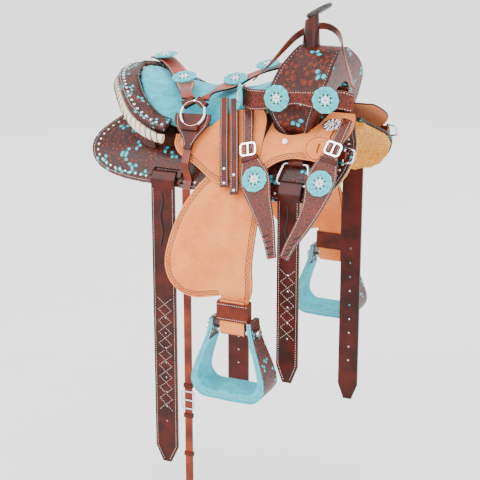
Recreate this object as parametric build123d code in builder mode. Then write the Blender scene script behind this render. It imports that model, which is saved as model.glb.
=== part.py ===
"""Western barrel saddle, laid with its matching headstall and breast collar.

+X points to the horn, +Y to the horse's left, +Z up, all in millimetres. The origin is on the
centre line, level with the underside of the fleece where the saddle sits on its stand or the horse.

Each side is built on a slanted side plane. Its local x is the saddle's x, its local y (called v)
runs up the slant, and its offset counts outward from the inner face of the fleece.
"""

from build123d import *

import os
from math import cos, radians, sin, tan

# The arch that every layer follows
side_tilt = 28.0
crest_slope = 27.8
shoulder_half_width = 115.0
shoulder_drop = 50.0
ridge_half_width = 20.0
shoulder_radius = 90.0

# Layers of one side, from the fleece outward
fleece_thickness = 14.0
skirt_thickness = 5.0
bar_thickness = 9.0
rigging_gap = 11.3
leather_thickness = 3.0
fender_thickness = 4.0
jockey_thickness = 4.0
lay_gap = 0.2
swing_gap = 1.1
tack_gap = 5.0

# Skirts and rigging
skirt_margin = 0.0
fleece_margin = -1.5
rigging_bar_radius = 2.6
rigging_bar_depth = 6.8
hinge_clearance = 0.3
rear_bar_v = -51.0
dee_bar_v = -45.0
billet_thickness = 5.0
billet_width = 50.0
rear_billet_x = -84.0
front_billet_x = 180.0
billet_elbow_v = -66.0
rear_billet_tip_z = -691.0
off_billet_tip_z = -468.0
latigo_tip_z = -640.0
billet_hole_radius = 2.5
billet_hole_pitch = 32.0

# Fender, stirrup leather and stirrup
pivot_x = 105.0
pivot_v = 6.0
pivot_radius = 6.0
fender_elbow_v = -215.0
elbow_radius = 60.0
stirrup_leather_width = 50.0
stirrup_bolt_radius = 6.0
stirrup_bolt_z = -345.0
stirrup_centre_x = 105.0
stirrup_depth = 64.0
stirrup_neck_depth = 40.0
lining_thickness = 3.0

# Horn
horn_x = 150.5
horn_lean = 2.0
horn_base_radius = 17.5
horn_top_radius = 11.5
horn_base_z = 155.0
horn_cap_radius = 27.0
horn_cap_thickness = 8.0
horn_cap_tilt = 30.0
horn_cap_centre = (166.0, 226.0)

# Tack hung on the saddle
strap_thickness = 3.5
concho_radius = 25.0
concho_thickness = 5.0
keeper_concho_radius = 18.0
rosette_radius = 15.0
rosette_thickness = 5.0
collar_ring_radius = 25.0
collar_ring_wire = 3.0
breast_dee_wire = 2.0
tie_down_width = 16.0
tie_down_end_z = -760.0

os.makedirs("parts", exist_ok=True)

# Offsets of the layers, worked out from the thicknesses
skirt_in = fleece_thickness + lay_gap
skirt_out = skirt_in + skirt_thickness
bar_in = skirt_out + lay_gap
bar_out = bar_in + bar_thickness
rigging_offset = skirt_out + rigging_bar_depth
leather_in = skirt_out + rigging_gap
leather_out = leather_in + leather_thickness
fender_in = leather_out + lay_gap
fender_out = fender_in + fender_thickness
jockey_in = fender_out + swing_gap
jockey_out = jockey_in + jockey_thickness
trim_in = jockey_out + lay_gap
cheek_in = jockey_out + tack_gap
cheek_out = cheek_in + strap_thickness
drop_in = cheek_in + 4.0
drop_out = drop_in + strap_thickness
loop_inner_radius = rigging_bar_radius + hinge_clearance
loop_outer_radius = rigging_offset - skirt_out - 0.5

# Unit directions of the right side, as (y, z) pairs
out_y, out_z = -cos(radians(side_tilt)), sin(radians(side_tilt))
up_y, up_z = sin(radians(side_tilt)), cos(radians(side_tilt))
crest_y, crest_z = cos(radians(crest_slope)), sin(radians(crest_slope))
turn = radians(90 - side_tilt - crest_slope)


def side_plane(offset):
    """The right side's slanted plane, this far out from the fleece's inner face."""
    origin = (0, -shoulder_half_width + offset * out_y, -shoulder_drop + offset * out_z)
    return Plane(origin=origin, x_dir=(1, 0, 0), z_dir=(0, out_y, out_z))


def on_side(offset, v):
    """The (y, z) of a point on the right side plane."""
    y = -shoulder_half_width + offset * out_y + v * up_y
    z = -shoulder_drop + offset * out_z + v * up_z
    return y, z


def arch_profile(inner, outer, lift=0.0, radius=shoulder_radius, top_y=ridge_half_width):
    """Cross-section of one layer of the right side, its shoulder rounded by radius + offset."""
    with BuildSketch(Plane.YZ, mode=Mode.PRIVATE) as profile:
        with BuildLine():
            corner_in = on_side(inner, lift + inner * tan(turn / 2))
            corner_out = on_side(outer, lift + outer * tan(turn / 2))
            low_in = on_side(inner, -400)
            low_out = on_side(outer, -400)
            rise_in = (-top_y - corner_in[0]) / crest_y
            rise_out = (-top_y - corner_out[0]) / crest_y
            top_in = (-top_y, corner_in[1] + rise_in * crest_z)
            top_out = (-top_y, corner_out[1] + rise_out * crest_z)
            FilletPolyline(low_in, corner_in, top_in, radius=radius + inner)
            Line(top_in, top_out)
            FilletPolyline(top_out, corner_out, low_out, radius=radius + outer)
            Line(low_out, low_in)
        make_face()
    return profile.sketch


def layer(inner, outer, lift=0.0, radius=shoulder_radius, top_y=ridge_half_width):
    """One layer of the right side, full length, to be cut to an outline."""
    with BuildPart(mode=Mode.PRIVATE) as band:
        extrude(arch_profile(inner, outer, lift, radius, top_y), amount=330, both=True)
    return band.part


def strap_edges(stations):
    """Both edges of a flat strap given by (x, v, half width) along its middle."""
    left, right = [], []
    for i, (x, v, half) in enumerate(stations):
        x0, v0, _ = stations[max(i - 1, 0)]
        x1, v1, _ = stations[min(i + 1, len(stations) - 1)]
        along = Vector(x1 - x0, v1 - v0, 0).normalized()
        left.append((x - along.Y * half, v + along.X * half))
        right.append((x + along.Y * half, v - along.X * half))
    return left, right


def strap_outline(stations):
    """A flat strap's face, with smooth edges and square ends."""
    left, right = strap_edges(stations)
    with BuildSketch(mode=Mode.PRIVATE) as outline:
        with BuildLine():
            Spline(*left)
            Line(left[-1], right[-1])
            Spline(*right)
            Line(right[0], left[0])
        make_face()
    return outline.sketch


def station_planes(points, width_directions):
    """Planes square to a path through the points, with x along each width direction."""
    planes = []
    for i, point in enumerate(points):
        before = Vector(*points[max(i - 1, 0)])
        after = Vector(*points[min(i + 1, len(points) - 1)])
        planes.append(Plane(origin=point, x_dir=width_directions[i], z_dir=after - before))
    return planes


def save(piece, name):
    """Label a finished piece and write its STEP."""
    piece.label = name
    export_step(piece, f"parts/{name}.step")


def save_pair(piece, name):
    """Write the right-hand piece and its mirrored left-hand twin."""
    twin = mirror(piece, about=Plane.XZ)
    save(piece, f"{name}_right")
    save(twin, f"{name}_left")


# Skirts: two leather panels over the fleece, round behind the cantle and square under the fork.
skirt_edge = [
    (-214, 122),
    (-232, 79),
    (-257, 35),
    (-263, -8),
    (-248, -38),
    (-211, -59),
    (-152, -69),
    (-80, -72),
    (20, -74),
    (120, -76),
    (210, -73),
    (250, -52),
    (268, -28),
    (279, 5),
    (278, 45),
    (258, 90),
    (250, 122),
]


def skirt_outline(margin):
    """The skirt's outline, grown or shrunk all round by a margin."""
    middle_x, middle_v = 8.0, 25.0
    grown = []
    for x, v in skirt_edge:
        away = Vector(x - middle_x, v - middle_v, 0).normalized() * margin
        grown.append((x + away.X, v + away.Y))
    with BuildSketch(mode=Mode.PRIVATE) as outline:
        with BuildLine():
            Spline(*grown)
            Line(grown[-1], grown[0])
        make_face()
    return outline.sketch


with BuildPart() as fleece:
    add(layer(0, fleece_thickness))
    extrude(side_plane(-60) * skirt_outline(fleece_margin), amount=200, mode=Mode.INTERSECT)
save_pair(fleece.part, "fleece")

with BuildPart() as skirt:
    add(layer(skirt_in, skirt_out))
    extrude(side_plane(-60) * skirt_outline(skirt_margin), amount=200, mode=Mode.INTERSECT)
save_pair(skirt.part, "skirt")

# Tree bars: the wooden rails under the seat, each with the round boss that its fender swings on.
with BuildPart() as tree_bar:
    add(layer(bar_in, bar_out, top_y=34))
    with BuildSketch(side_plane(-60)):
        with Locations((28, 62)):
            RectangleRounded(356, 112, 25)
    extrude(amount=200, mode=Mode.INTERSECT)
    with BuildSketch(side_plane(bar_out - 8)):
        with Locations((pivot_x, pivot_v)):
            Circle(pivot_radius)
    extrude(amount=leather_out - bar_out + 8)
save_pair(tree_bar.part, "tree_bar")

# Fork: the wooden arch at the front of the tree, and the tooled leather swell cover over it.
swell_half = [
    (0, 160),
    (-30, 152),
    (-62, 135),
    (-92, 110),
    (-115, 80),
    (-124, 48),
    (-119, 22),
    (-108, 6),
]
gullet_half = [(0, 94), (-34, 82), (-62, 48), (-84, 2)]
cover_thickness = 6.0


def mirrored_points(half):
    """A half outline from the middle outward, completed across the centre line."""
    return [(-y, z) for y, z in reversed(half) if y != 0] + list(half)


def swell_profile(inset):
    """The fork's arch seen from the front, drawn in from the swell's outside by an inset."""
    factor_y = 1 - inset / 124
    outer = [(y * factor_y, z - inset * z / 160) for y, z in mirrored_points(swell_half)]
    inner = [(y, z + inset) for y, z in mirrored_points(gullet_half)]
    with BuildSketch(mode=Mode.PRIVATE) as profile:
        with BuildLine():
            Spline(*outer)
            Line(outer[-1], inner[-1])
            Spline(*inner)
            Line(inner[0], outer[0])
        make_face()
    return profile.sketch


under_tree_right = layer(-60, bar_out + lay_gap, top_y=0)
under_tree_left = mirror(under_tree_right, about=Plane.XZ)
with BuildPart() as fork:
    extrude(Plane.YZ.offset(136) * swell_profile(cover_thickness + lay_gap), amount=50)
    add(under_tree_right, mode=Mode.SUBTRACT)
    add(under_tree_left, mode=Mode.SUBTRACT)
save(fork.part, "fork")

with BuildPart() as swell_cover:
    extrude(Plane.YZ.offset(100) * swell_profile(0), amount=135)
    with BuildSketch(Plane.XZ):
        with BuildLine():
            Spline(
                (134, 168),
                (119, 130),
                (112, 92),
                (117, 55),
                (132, 22),
                (152, -12),
            )
            Line((152, -12), (176, -12))
            Spline(
                (176, -12),
                (196, 22),
                (208, 60),
                (222, 105),
                (221, 142),
                (211, 168),
            )
            Line((211, 168), (134, 168))
        make_face()
    extrude(amount=200, both=True, mode=Mode.INTERSECT)
    extrude(Plane.YZ.offset(135.5) * swell_profile(cover_thickness), amount=51, mode=Mode.SUBTRACT)
    add(under_tree_right, mode=Mode.SUBTRACT)
    add(under_tree_left, mode=Mode.SUBTRACT)
    with Locations((horn_x, 0, horn_base_z)):
        Cylinder(
            horn_base_radius + lay_gap,
            40,
            align=(Align.CENTER, Align.CENTER, Align.MIN),
            mode=Mode.SUBTRACT,
        )
save(swell_cover.part, "swell_cover")

# Horn: a wrapped neck and a tilted round cap.
cap_x, cap_z = horn_cap_centre
cap_axis = (-sin(radians(horn_cap_tilt)), 0, cos(radians(horn_cap_tilt)))
cap_plane = Plane(origin=(cap_x, 0, cap_z), x_dir=(0, 1, 0), z_dir=cap_axis)
with BuildPart() as horn_neck:
    with BuildSketch(Plane.XY.offset(horn_base_z + lay_gap)):
        with Locations((horn_x, 0)):
            Circle(horn_base_radius)
    with BuildSketch(Plane.XY.offset(cap_z + 6)):
        with Locations((horn_x + horn_lean, 0)):
            Circle(horn_top_radius)
    loft()
    underside = cap_plane.offset(-horn_cap_thickness / 2 - lay_gap)
    split(bisect_by=underside, keep=Keep.BOTTOM)
save(horn_neck.part, "horn_neck")

with BuildPart() as horn_cap:
    with BuildSketch(cap_plane.offset(-horn_cap_thickness / 2)):
        Circle(horn_cap_radius)
    extrude(amount=horn_cap_thickness)
    fillet(horn_cap.edges().filter_by(GeomType.CIRCLE), horn_cap_thickness * 0.4)
save(horn_cap.part, "horn_cap")

# Cantle: a wooden board round the back of the seat, a tooled band along its rim, and the laced
# rawhide roll that closes the edge below the band.
rim_outer = [(-251, 0, 92), (-247, -42, 88), (-232, -80, 82), (-211, -110, 73)]
rim_outer += [(-189, -136, 57), (-162, -156, 35), (-116, -167, 11), (-84, -168, 4)]
rim_inner = [(-214, 0, 99), (-205, -38, 92), (-193, -64, 82), (-171, -94, 65)]
rim_inner += [(-150, -114, 47), (-125, -129, 32), (-102, -139, 22), (-80, -140, 17)]
band_half_thickness = 4.5


def both_ways(points):
    """A right-half path from the middle forward, completed from left tip to right tip."""
    return [(x, -y, z) for x, y, z in reversed(points) if y != 0] + list(points)


outer_path = both_ways(rim_outer)
inner_path = both_ways(rim_inner)
middles = [tuple((Vector(*a) + Vector(*b)) * 0.5) for a, b in zip(outer_path, inner_path)]
spans = [Vector(*a) - Vector(*b) for a, b in zip(outer_path, inner_path)]
with BuildPart() as cantle_roll:
    for plane, span in zip(station_planes(middles, spans), spans):
        with BuildSketch(plane):
            RectangleRounded(span.length, 2 * band_half_thickness, 3)
    loft(ruled=True)
save(cantle_roll.part, "cantle_roll")

binding_drop = 17.0
binding_path = [(x - 1, y * 1.0, z - binding_drop) for x, y, z in outer_path]
binding_width = [Vector(0, 0, 1) for _ in binding_path]
with BuildPart() as cantle_binding:
    for plane in station_planes(binding_path, binding_width):
        with BuildSketch(plane):
            Ellipse(9.5, 7.0)
    loft()
save(cantle_binding.part, "cantle_binding")

board_back = [(-231, 0), (-214, -78), (-178, -118), (-118, -140)]
board_face = [(-215, 0), (-200, -68), (-166, -104), (-110, -126)]


def both_ways_flat(points):
    """A flat right-half line from the middle forward, completed from left tip to right tip."""
    return [(x, -y) for x, y in reversed(points) if y != 0] + list(points)


with BuildPart() as cantle_board:
    with BuildSketch(Plane.XY.offset(-40)):
        with BuildLine():
            Spline(*both_ways_flat(board_back))
            Line((-118, -140), (-110, -126))
            Spline(*reversed(both_ways_flat(board_face)))
            Line((-110, 126), (-118, 140))
        make_face()
    extrude(amount=160)
    with BuildSketch(Plane.XZ):
        with BuildLine():
            Polyline((-240, -60), (-240, 76), (-214, 66), (-178, 40), (-140, 14), (-100, -8), (-100, -60))
            Line((-100, -60), (-240, -60))
        make_face()
    extrude(amount=200, both=True, mode=Mode.INTERSECT)
    add(under_tree_right, mode=Mode.SUBTRACT)
    add(under_tree_left, mode=Mode.SUBTRACT)
save(cantle_board.part, "cantle_board")

# Jockeys: the flat leather flaps over the fenders' tops, behind and in front of the swell.
with BuildSketch() as seat_jockey_outline:
    with BuildLine():
        Spline((-70, 8), (-60, -8), (-23, -28), (26, -57), (80, -66), (112, -62))
        Line((112, -62), (112, 62))
        Spline((112, 62), (90, 92), (71, 90), (40, 79), (14, 62), (-10, 42), (-40, 30), (-70, 26))
        Line((-70, 26), (-70, 8))
    make_face()
with BuildPart() as seat_jockey:
    extrude(side_plane(jockey_in) * seat_jockey_outline.sketch, amount=jockey_thickness)
save_pair(seat_jockey.part, "seat_jockey")

jockey_lift = 22.0
jockey_radius = 20.0
with BuildPart() as front_jockey:
    add(layer(jockey_in, jockey_out, lift=jockey_lift, radius=jockey_radius))
    with BuildSketch(side_plane(-60)):
        with BuildLine():
            Line((113, -60), (113, 98))
            Spline((113, 98), (120, 64), (150, 48), (184, 56), (204, 80), (214, 112))
            Line((214, 112), (262, 112))
            Spline((262, 112), (273, 62), (256, 22), (224, 2), (188, 2), (150, -8), (130, -24), (113, -60))
        make_face()
    extrude(amount=200, mode=Mode.INTERSECT)
    add(swell_cover.part, mode=Mode.SUBTRACT)
    add(fork.part, mode=Mode.SUBTRACT)
front_jockey_flap = front_jockey.solids().sort_by(SortBy.VOLUME)[-1]
save_pair(front_jockey_flap, "front_jockey")

# Latigo keeper: a slotted round leather tab on the front jockey.
with BuildPart() as latigo_keeper:
    add(layer(trim_in, trim_in + leather_thickness, lift=jockey_lift, radius=jockey_radius))
    with BuildSketch(side_plane(-60)):
        with Locations((224, 26)):
            Circle(27)
        with Locations((227, 60)):
            Rectangle(25, 56)
        with Locations((225, 25)):
            SlotOverall(20, 4, rotation=86, mode=Mode.SUBTRACT)
    extrude(amount=200, mode=Mode.INTERSECT)
save_pair(latigo_keeper.part, "latigo_keeper")

# Seat: the padded suede seat, dished up to the cantle's band and up to the swell.
# Each station is (x, half width, edge height, crown height).
seat_stations = [
    (-207, 30, 90, 95),
    (-194, 58, 80, 88),
    (-169, 91, 60, 74),
    (-137, 117, 37, 65),
    (-100, 132, 21, 60),
    (-50, 139, 12, 58),
    (0, 128, 17, 62),
    (50, 106, 43, 74),
    (92, 84, 66, 92),
]
seat_edge_depth = 16.0
seat_edge_inset = 16.0


def seat_section(half, edge, crown):
    """One cross-section of the seat: a crowned top over a flat underside."""
    with BuildSketch(mode=Mode.PRIVATE) as section:
        with BuildLine():
            rise = crown - edge
            Spline(
                (-half, edge),
                (-0.72 * half, edge + 0.66 * rise),
                (0, crown),
                (0.72 * half, edge + 0.66 * rise),
                (half, edge),
            )
            Line((half, edge), (half - seat_edge_inset, edge - seat_edge_depth))
            foot_y, foot_z = half - seat_edge_inset, edge - seat_edge_depth
            Line((foot_y, foot_z), (-foot_y, foot_z))
            Line((-foot_y, foot_z), (-half, edge))
        make_face()
    return section.sketch


with BuildPart() as beside_seat:
    with BuildSketch(side_plane(jockey_in - lay_gap)):
        with BuildLine():
            Polyline((-71, -20), (-71, 27), (-40, 31), (-10, 43), (14, 63), (40, 80), (71, 91), (125, 93))
            Line((125, 93), (125, -20))
            Line((125, -20), (-71, -20))
        make_face()
    extrude(amount=60)

with BuildPart() as seat:
    for x, half, edge, crown in seat_stations:
        add(Plane.YZ.offset(x) * seat_section(half, edge, crown))
    loft()
    add(under_tree_right, mode=Mode.SUBTRACT)
    add(under_tree_left, mode=Mode.SUBTRACT)
    add(beside_seat.part, mode=Mode.SUBTRACT)
    add(mirror(beside_seat.part, about=Plane.XZ), mode=Mode.SUBTRACT)
    add(cantle_roll.part, mode=Mode.SUBTRACT)
    add(cantle_board.part, mode=Mode.SUBTRACT)
    add(swell_cover.part, mode=Mode.SUBTRACT)
save(seat.part, "seat")

# Trim screwed to the saddle: rosettes and conchos, and the crystal screws of the front jockeys.
with BuildPart() as rear_rosette:
    add(layer(skirt_out + lay_gap, skirt_out + rosette_thickness))
    with BuildSketch(side_plane(-60)):
        with Locations((-186, 47)):
            Circle(rosette_radius)
    extrude(amount=200, mode=Mode.INTERSECT)

keeper_out = trim_in + leather_thickness
with BuildPart() as keeper_concho:
    add(layer(keeper_out + lay_gap, keeper_out + concho_thickness, lift=jockey_lift, radius=jockey_radius))
    with BuildSketch(side_plane(-60)):
        with Locations((232, 78)):
            Circle(keeper_concho_radius)
    extrude(amount=200, mode=Mode.INTERSECT)

with BuildPart() as saddle_rosettes:
    add([rear_rosette.part, mirror(rear_rosette.part, about=Plane.XZ)])
    add([keeper_concho.part, mirror(keeper_concho.part, about=Plane.XZ)])
save(saddle_rosettes.part, "saddle_rosettes")

with BuildPart() as jockey_screw:
    with BuildSketch(side_plane(jockey_out + lay_gap)):
        with Locations((157, 32)):
            Circle(5)
    extrude(amount=4)
with BuildPart() as jockey_screws:
    add([jockey_screw.part, mirror(jockey_screw.part, about=Plane.XZ)])
save(jockey_screws.part, "jockey_screws")

# Rear rigging: a leather plate on each skirt, with a window and a bar that the billet hangs on.
billet_window = billet_width + 5
plate_height = 50.0
plate_margin = 12.0
plate_thickness = 4.6
with BuildPart() as rear_rigging_plate:
    with BuildSketch(side_plane(bar_in)):
        with Locations((rear_billet_x, rear_bar_v + 7)):
            RectangleRounded(billet_window + 2 * plate_margin, plate_height, 14)
        with Locations((rear_billet_x, rear_bar_v)):
            Rectangle(billet_window, 24, mode=Mode.SUBTRACT)
    extrude(amount=plate_thickness)
    with BuildSketch(side_plane(bar_in)):
        with Locations((rear_billet_x, rear_bar_v)):
            with GridLocations(billet_window + 8, 1, 2, 1):
                Rectangle(8, 11)
    extrude(amount=rigging_offset + rigging_bar_radius + 1 - bar_in)
    rail_middle = on_side(rigging_offset, rear_bar_v)
    with BuildSketch(Plane.YZ.offset(rear_billet_x)):
        with Locations(rail_middle):
            Circle(rigging_bar_radius)
    extrude(amount=billet_window / 2 + 4, both=True)
save_pair(rear_rigging_plate.part, "rear_rigging_plate")

# Front rigging: a wire dee on each side, hung from a leather tab, with its lower bar for the billet.
dee_half_width = 34.0
dee_top_v = -4.0
dee_corner = 8.0
dee_plane = side_plane(rigging_offset)
with BuildPart() as front_rigging_dee:
    with BuildLine(dee_plane) as dee_path:
        FilletPolyline(
            (front_billet_x + dee_half_width, dee_bar_v),
            (front_billet_x + dee_half_width - 10, dee_top_v),
            (front_billet_x - dee_half_width + 10, dee_top_v),
            (front_billet_x - dee_half_width, dee_bar_v),
            radius=dee_corner,
            close=True,
        )
    with BuildSketch(Plane(origin=dee_path.line @ 0, z_dir=dee_path.line % 0)):
        Circle(rigging_bar_radius)
    sweep(path=dee_path.line)
save_pair(front_rigging_dee.part, "front_rigging_dee")

tab_width = 28.0
tab_wall = 2.6
with BuildPart() as rigging_tab:
    with BuildSketch(Plane.YZ.offset(front_billet_x)):
        with Locations(on_side(rigging_offset, dee_top_v)):
            Circle(loop_inner_radius + tab_wall)
        with BuildLine():
            strip_offset = rigging_offset + loop_inner_radius + tab_wall / 2
            Line(on_side(strip_offset, dee_top_v), on_side(strip_offset, 24))
        trace(line_width=tab_wall)
        with Locations(on_side(rigging_offset, dee_top_v)):
            Circle(loop_inner_radius - 0.2, mode=Mode.SUBTRACT)
    extrude(amount=tab_width / 2, both=True)
with BuildPart() as rigging_tabs:
    add([rigging_tab.part, mirror(rigging_tab.part, about=Plane.XZ)])
save(rigging_tabs.part, "rigging_tabs")


def billet(x, width, bar_v, tip_z, holes):
    """A strap that hangs on a bar at the skirt's edge, with punched holes and a tapered tip."""
    ring = on_side(rigging_offset, bar_v)
    middle_offset = rigging_offset + loop_outer_radius - billet_thickness / 2
    elbow = on_side(middle_offset, billet_elbow_v)
    with BuildPart(mode=Mode.PRIVATE) as strap:
        with BuildSketch(Plane.YZ.offset(x)):
            with Locations(ring):
                Circle(loop_outer_radius)
            with BuildLine():
                FilletPolyline(on_side(middle_offset, bar_v), elbow, (elbow[0], tip_z), radius=12)
            trace(line_width=billet_thickness)
            with Locations(ring):
                Circle(loop_inner_radius, mode=Mode.SUBTRACT)
        extrude(amount=width / 2, both=True)
        with BuildSketch(Plane.XZ):
            with BuildLine():
                half = width / 2
                Polyline((x - half, 0), (x + half, 0), (x + half, tip_z + 34), (x + 9, tip_z))
                Polyline((x + 9, tip_z), (x - 9, tip_z), (x - half, tip_z + 34), (x - half, 0))
            make_face()
        extrude(amount=260, both=True, mode=Mode.INTERSECT)
        with BuildSketch(Plane.XZ):
            for i in range(holes):
                with Locations((x, tip_z + 90 + i * billet_hole_pitch)):
                    Circle(billet_hole_radius)
        extrude(amount=260, both=True, mode=Mode.SUBTRACT)
    return strap.part


save_pair(billet(rear_billet_x, billet_width, rear_bar_v, rear_billet_tip_z, 8), "rear_billet")
front_width = 2 * (dee_half_width - dee_corner) - 8
save(billet(front_billet_x, front_width, dee_bar_v, off_billet_tip_z, 5), "off_billet")
latigo = billet(front_billet_x, front_width, dee_bar_v, latigo_tip_z, 9)
save(mirror(latigo, about=Plane.XZ), "latigo")

# Breast-collar dees: small wire dees that swing on clips at the front edges of the skirts.
clip_x = 268.0
clip_v = 22.0
clip_height = 15.0
clip_foot = 25.0
clip_offset = bar_in + 3.2
with BuildPart() as breast_dee_clip:
    with BuildSketch(side_plane(bar_in - clip_foot)):
        with Locations((clip_x - 5, clip_v)):
            Rectangle(18, clip_height)
    extrude(amount=clip_foot + 6.4)
    add(layer(-80, skirt_out + lay_gap), mode=Mode.SUBTRACT)
    bore_start = side_plane(clip_offset).from_local_coords((clip_x, clip_v - 20))
    with BuildSketch(Plane(origin=bore_start, z_dir=(0, up_y, up_z))):
        Circle(breast_dee_wire + hinge_clearance)
    extrude(amount=40, mode=Mode.SUBTRACT)
with BuildPart() as breast_dee_clips:
    add([breast_dee_clip.part, mirror(breast_dee_clip.part, about=Plane.XZ)])
save(breast_dee_clips.part, "breast_dee_clips")

with BuildPart() as breast_dee:
    with BuildLine(side_plane(clip_offset)) as small_dee_path:
        FilletPolyline(
            (clip_x, clip_v + 15),
            (clip_x + 20, clip_v + 11),
            (clip_x + 20, clip_v - 11),
            (clip_x, clip_v - 15),
            radius=4.5,
            close=True,
        )
    with BuildSketch(Plane(origin=small_dee_path.line @ 0, z_dir=small_dee_path.line % 0)):
        Circle(breast_dee_wire)
    sweep(path=small_dee_path.line)
save_pair(breast_dee.part, "breast_dee")

# Fenders and stirrup leathers: they swing on the tree's bosses and hang straight below the skirts.
leather_middle = leather_in + leather_thickness / 2
fender_middle = fender_in + fender_thickness / 2
leather_elbow = on_side(leather_middle, fender_elbow_v)
fold_gap = fender_middle - leather_middle
fender_fold_y = leather_elbow[0] - fold_gap
fender_elbow = on_side(fender_middle, (fender_fold_y + shoulder_half_width - fender_middle * out_y) / up_y)
bolt_y = leather_elbow[0] - stirrup_bolt_radius - hinge_clearance - leather_thickness / 2
neck_half_width = stirrup_leather_width / 2 + 4
hobble_top_z = -288.0
hobble_height = 36.0
with BuildPart() as fender:
    with BuildSketch(Plane.YZ):
        with BuildLine():
            fender_foot = (fender_fold_y, hobble_top_z - 42)
            FilletPolyline(on_side(fender_middle, 30), fender_elbow, fender_foot, radius=elbow_radius + fold_gap)
        trace(line_width=fender_thickness)
    extrude(amount=200, both=True)
    with BuildSketch(Plane.XZ):
        with BuildLine():
            Spline(
                (70, -20),
                (30, -56),
                (6, -80),
                (-17, -112),
                (-33, -148),
                (-41, -188),
                (-42, -225),
                (-35, -260),
                (-10, -285),
                (22, -292),
                (52, -287),
                (stirrup_centre_x - neck_half_width, -281),
            )
            Polyline(
                (stirrup_centre_x - neck_half_width, -281),
                (stirrup_centre_x - neck_half_width, -330),
                (stirrup_centre_x + neck_half_width, -330),
                (stirrup_centre_x + neck_half_width, -284),
            )
            Spline(
                (stirrup_centre_x + neck_half_width, -284),
                (139, -268),
                (138, -223),
                (132, -150),
                (131, -86),
                (124, -24),
            )
            Spline((124, -24), (114, -11), (97, -7), (80, -10), (70, -20))
        make_face()
    extrude(amount=300, both=True, mode=Mode.INTERSECT)
save_pair(fender.part, "fender")

with BuildPart() as stirrup_leather:
    with BuildSketch(Plane.YZ):
        with Locations((bolt_y, stirrup_bolt_z)):
            Circle(stirrup_bolt_radius + hinge_clearance + leather_thickness)
        with BuildLine():
            leather_foot = (leather_elbow[0], stirrup_bolt_z)
            FilletPolyline(on_side(leather_middle, 30), leather_elbow, leather_foot, radius=elbow_radius)
        trace(line_width=leather_thickness)
        return_y = 2 * bolt_y - leather_elbow[0]
        with BuildLine():
            Line((return_y, stirrup_bolt_z), (return_y, hobble_top_z + 4))
        trace(line_width=leather_thickness)
        with Locations((bolt_y, stirrup_bolt_z)):
            Circle(stirrup_bolt_radius + hinge_clearance, mode=Mode.SUBTRACT)
    extrude(amount=200, both=True)
    with BuildSketch(Plane.XZ):
        with Locations((stirrup_centre_x, -190)):
            RectangleRounded(stirrup_leather_width, 352, 22)
        with Locations((stirrup_centre_x, stirrup_bolt_z + 10)):
            Rectangle(stirrup_leather_width, 60)
    extrude(amount=300, both=True, mode=Mode.INTERSECT)
    with BuildSketch(side_plane(leather_in - 1)):
        with Locations((pivot_x, pivot_v)):
            Circle(pivot_radius + hinge_clearance)
    extrude(amount=leather_thickness + 2, mode=Mode.SUBTRACT)
save_pair(stirrup_leather.part, "stirrup_leather")

hobble_wall = 3.0
hobble_depth = leather_elbow[0] - return_y + leather_thickness + 2 * hinge_clearance
with BuildPart() as hobble_strap:
    with BuildSketch(Plane.XY.offset(hobble_top_z)):
        with Locations((stirrup_centre_x, bolt_y)):
            hobble_width = 2 * neck_half_width + 2 * hinge_clearance
            RectangleRounded(hobble_width + 2 * hobble_wall, hobble_depth + 2 * hobble_wall, 5)
            RectangleRounded(hobble_width, hobble_depth, 2, mode=Mode.SUBTRACT)
    extrude(amount=-hobble_height)
save_pair(hobble_strap.part, "hobble_strap")

# Stirrups: a bell-shaped wooden frame covered in leather, lined inside, turning on a bolt.
# Each point of the half frame is (half width, z).
frame_half = [(43, -320), (49, -354), (73, -424), (75, -446), (62, -468), (44, -475)]
opening_half = [(34.5, -320), (40, -354), (63, -424), (64, -442), (54, -456), (42, -460)]
lined_top_z = -362.0


def stirrup_face(half_points, bottom_z):
    """The face inside a half outline and its mirror image, closed by a flat bottom."""
    right = [(stirrup_centre_x + half, z) for half, z in half_points]
    left = [(stirrup_centre_x - half, z) for half, z in half_points]
    with BuildSketch(mode=Mode.PRIVATE) as face:
        with BuildLine():
            Spline(*right)
            Polyline(right[-1], (stirrup_centre_x, bottom_z), left[-1])
            Spline(*left)
            Line(left[0], right[0])
        make_face()
    return face.sketch


inner_half = [(half - lining_thickness, z + lining_thickness * 0.8) for half, z in opening_half]
frame_face = stirrup_face(frame_half, -476)
opening_face = stirrup_face(opening_half, -460.5)
lined_face = stirrup_face(inner_half, -457.5)
with BuildSketch(Plane.YZ) as stirrup_side:
    with BuildLine():
        neck_half = stirrup_neck_depth / 2
        tread_half = stirrup_depth / 2
        Polyline(
            (bolt_y - neck_half, -310),
            (bolt_y - neck_half, -352),
            (bolt_y - tread_half, -440),
            (bolt_y - tread_half, -490),
            (bolt_y + tread_half, -490),
            (bolt_y + tread_half, -440),
            (bolt_y + neck_half, -352),
            (bolt_y + neck_half, -310),
            (bolt_y - neck_half, -310),
        )
    make_face()
with BuildPart() as stirrup_frame:
    extrude(Plane.XZ.offset(-bolt_y) * frame_face, amount=60, both=True)
    extrude(Plane.XZ.offset(-bolt_y) * opening_face, amount=60, both=True, mode=Mode.SUBTRACT)
    extrude(stirrup_side.sketch, amount=300, both=True, mode=Mode.INTERSECT)
    with BuildSketch(Plane.YZ):
        with Locations((bolt_y, stirrup_bolt_z)):
            Circle(stirrup_bolt_radius + 0.05)
    extrude(amount=300, both=True, mode=Mode.SUBTRACT)
save_pair(stirrup_frame.part, "stirrup_frame")

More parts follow.
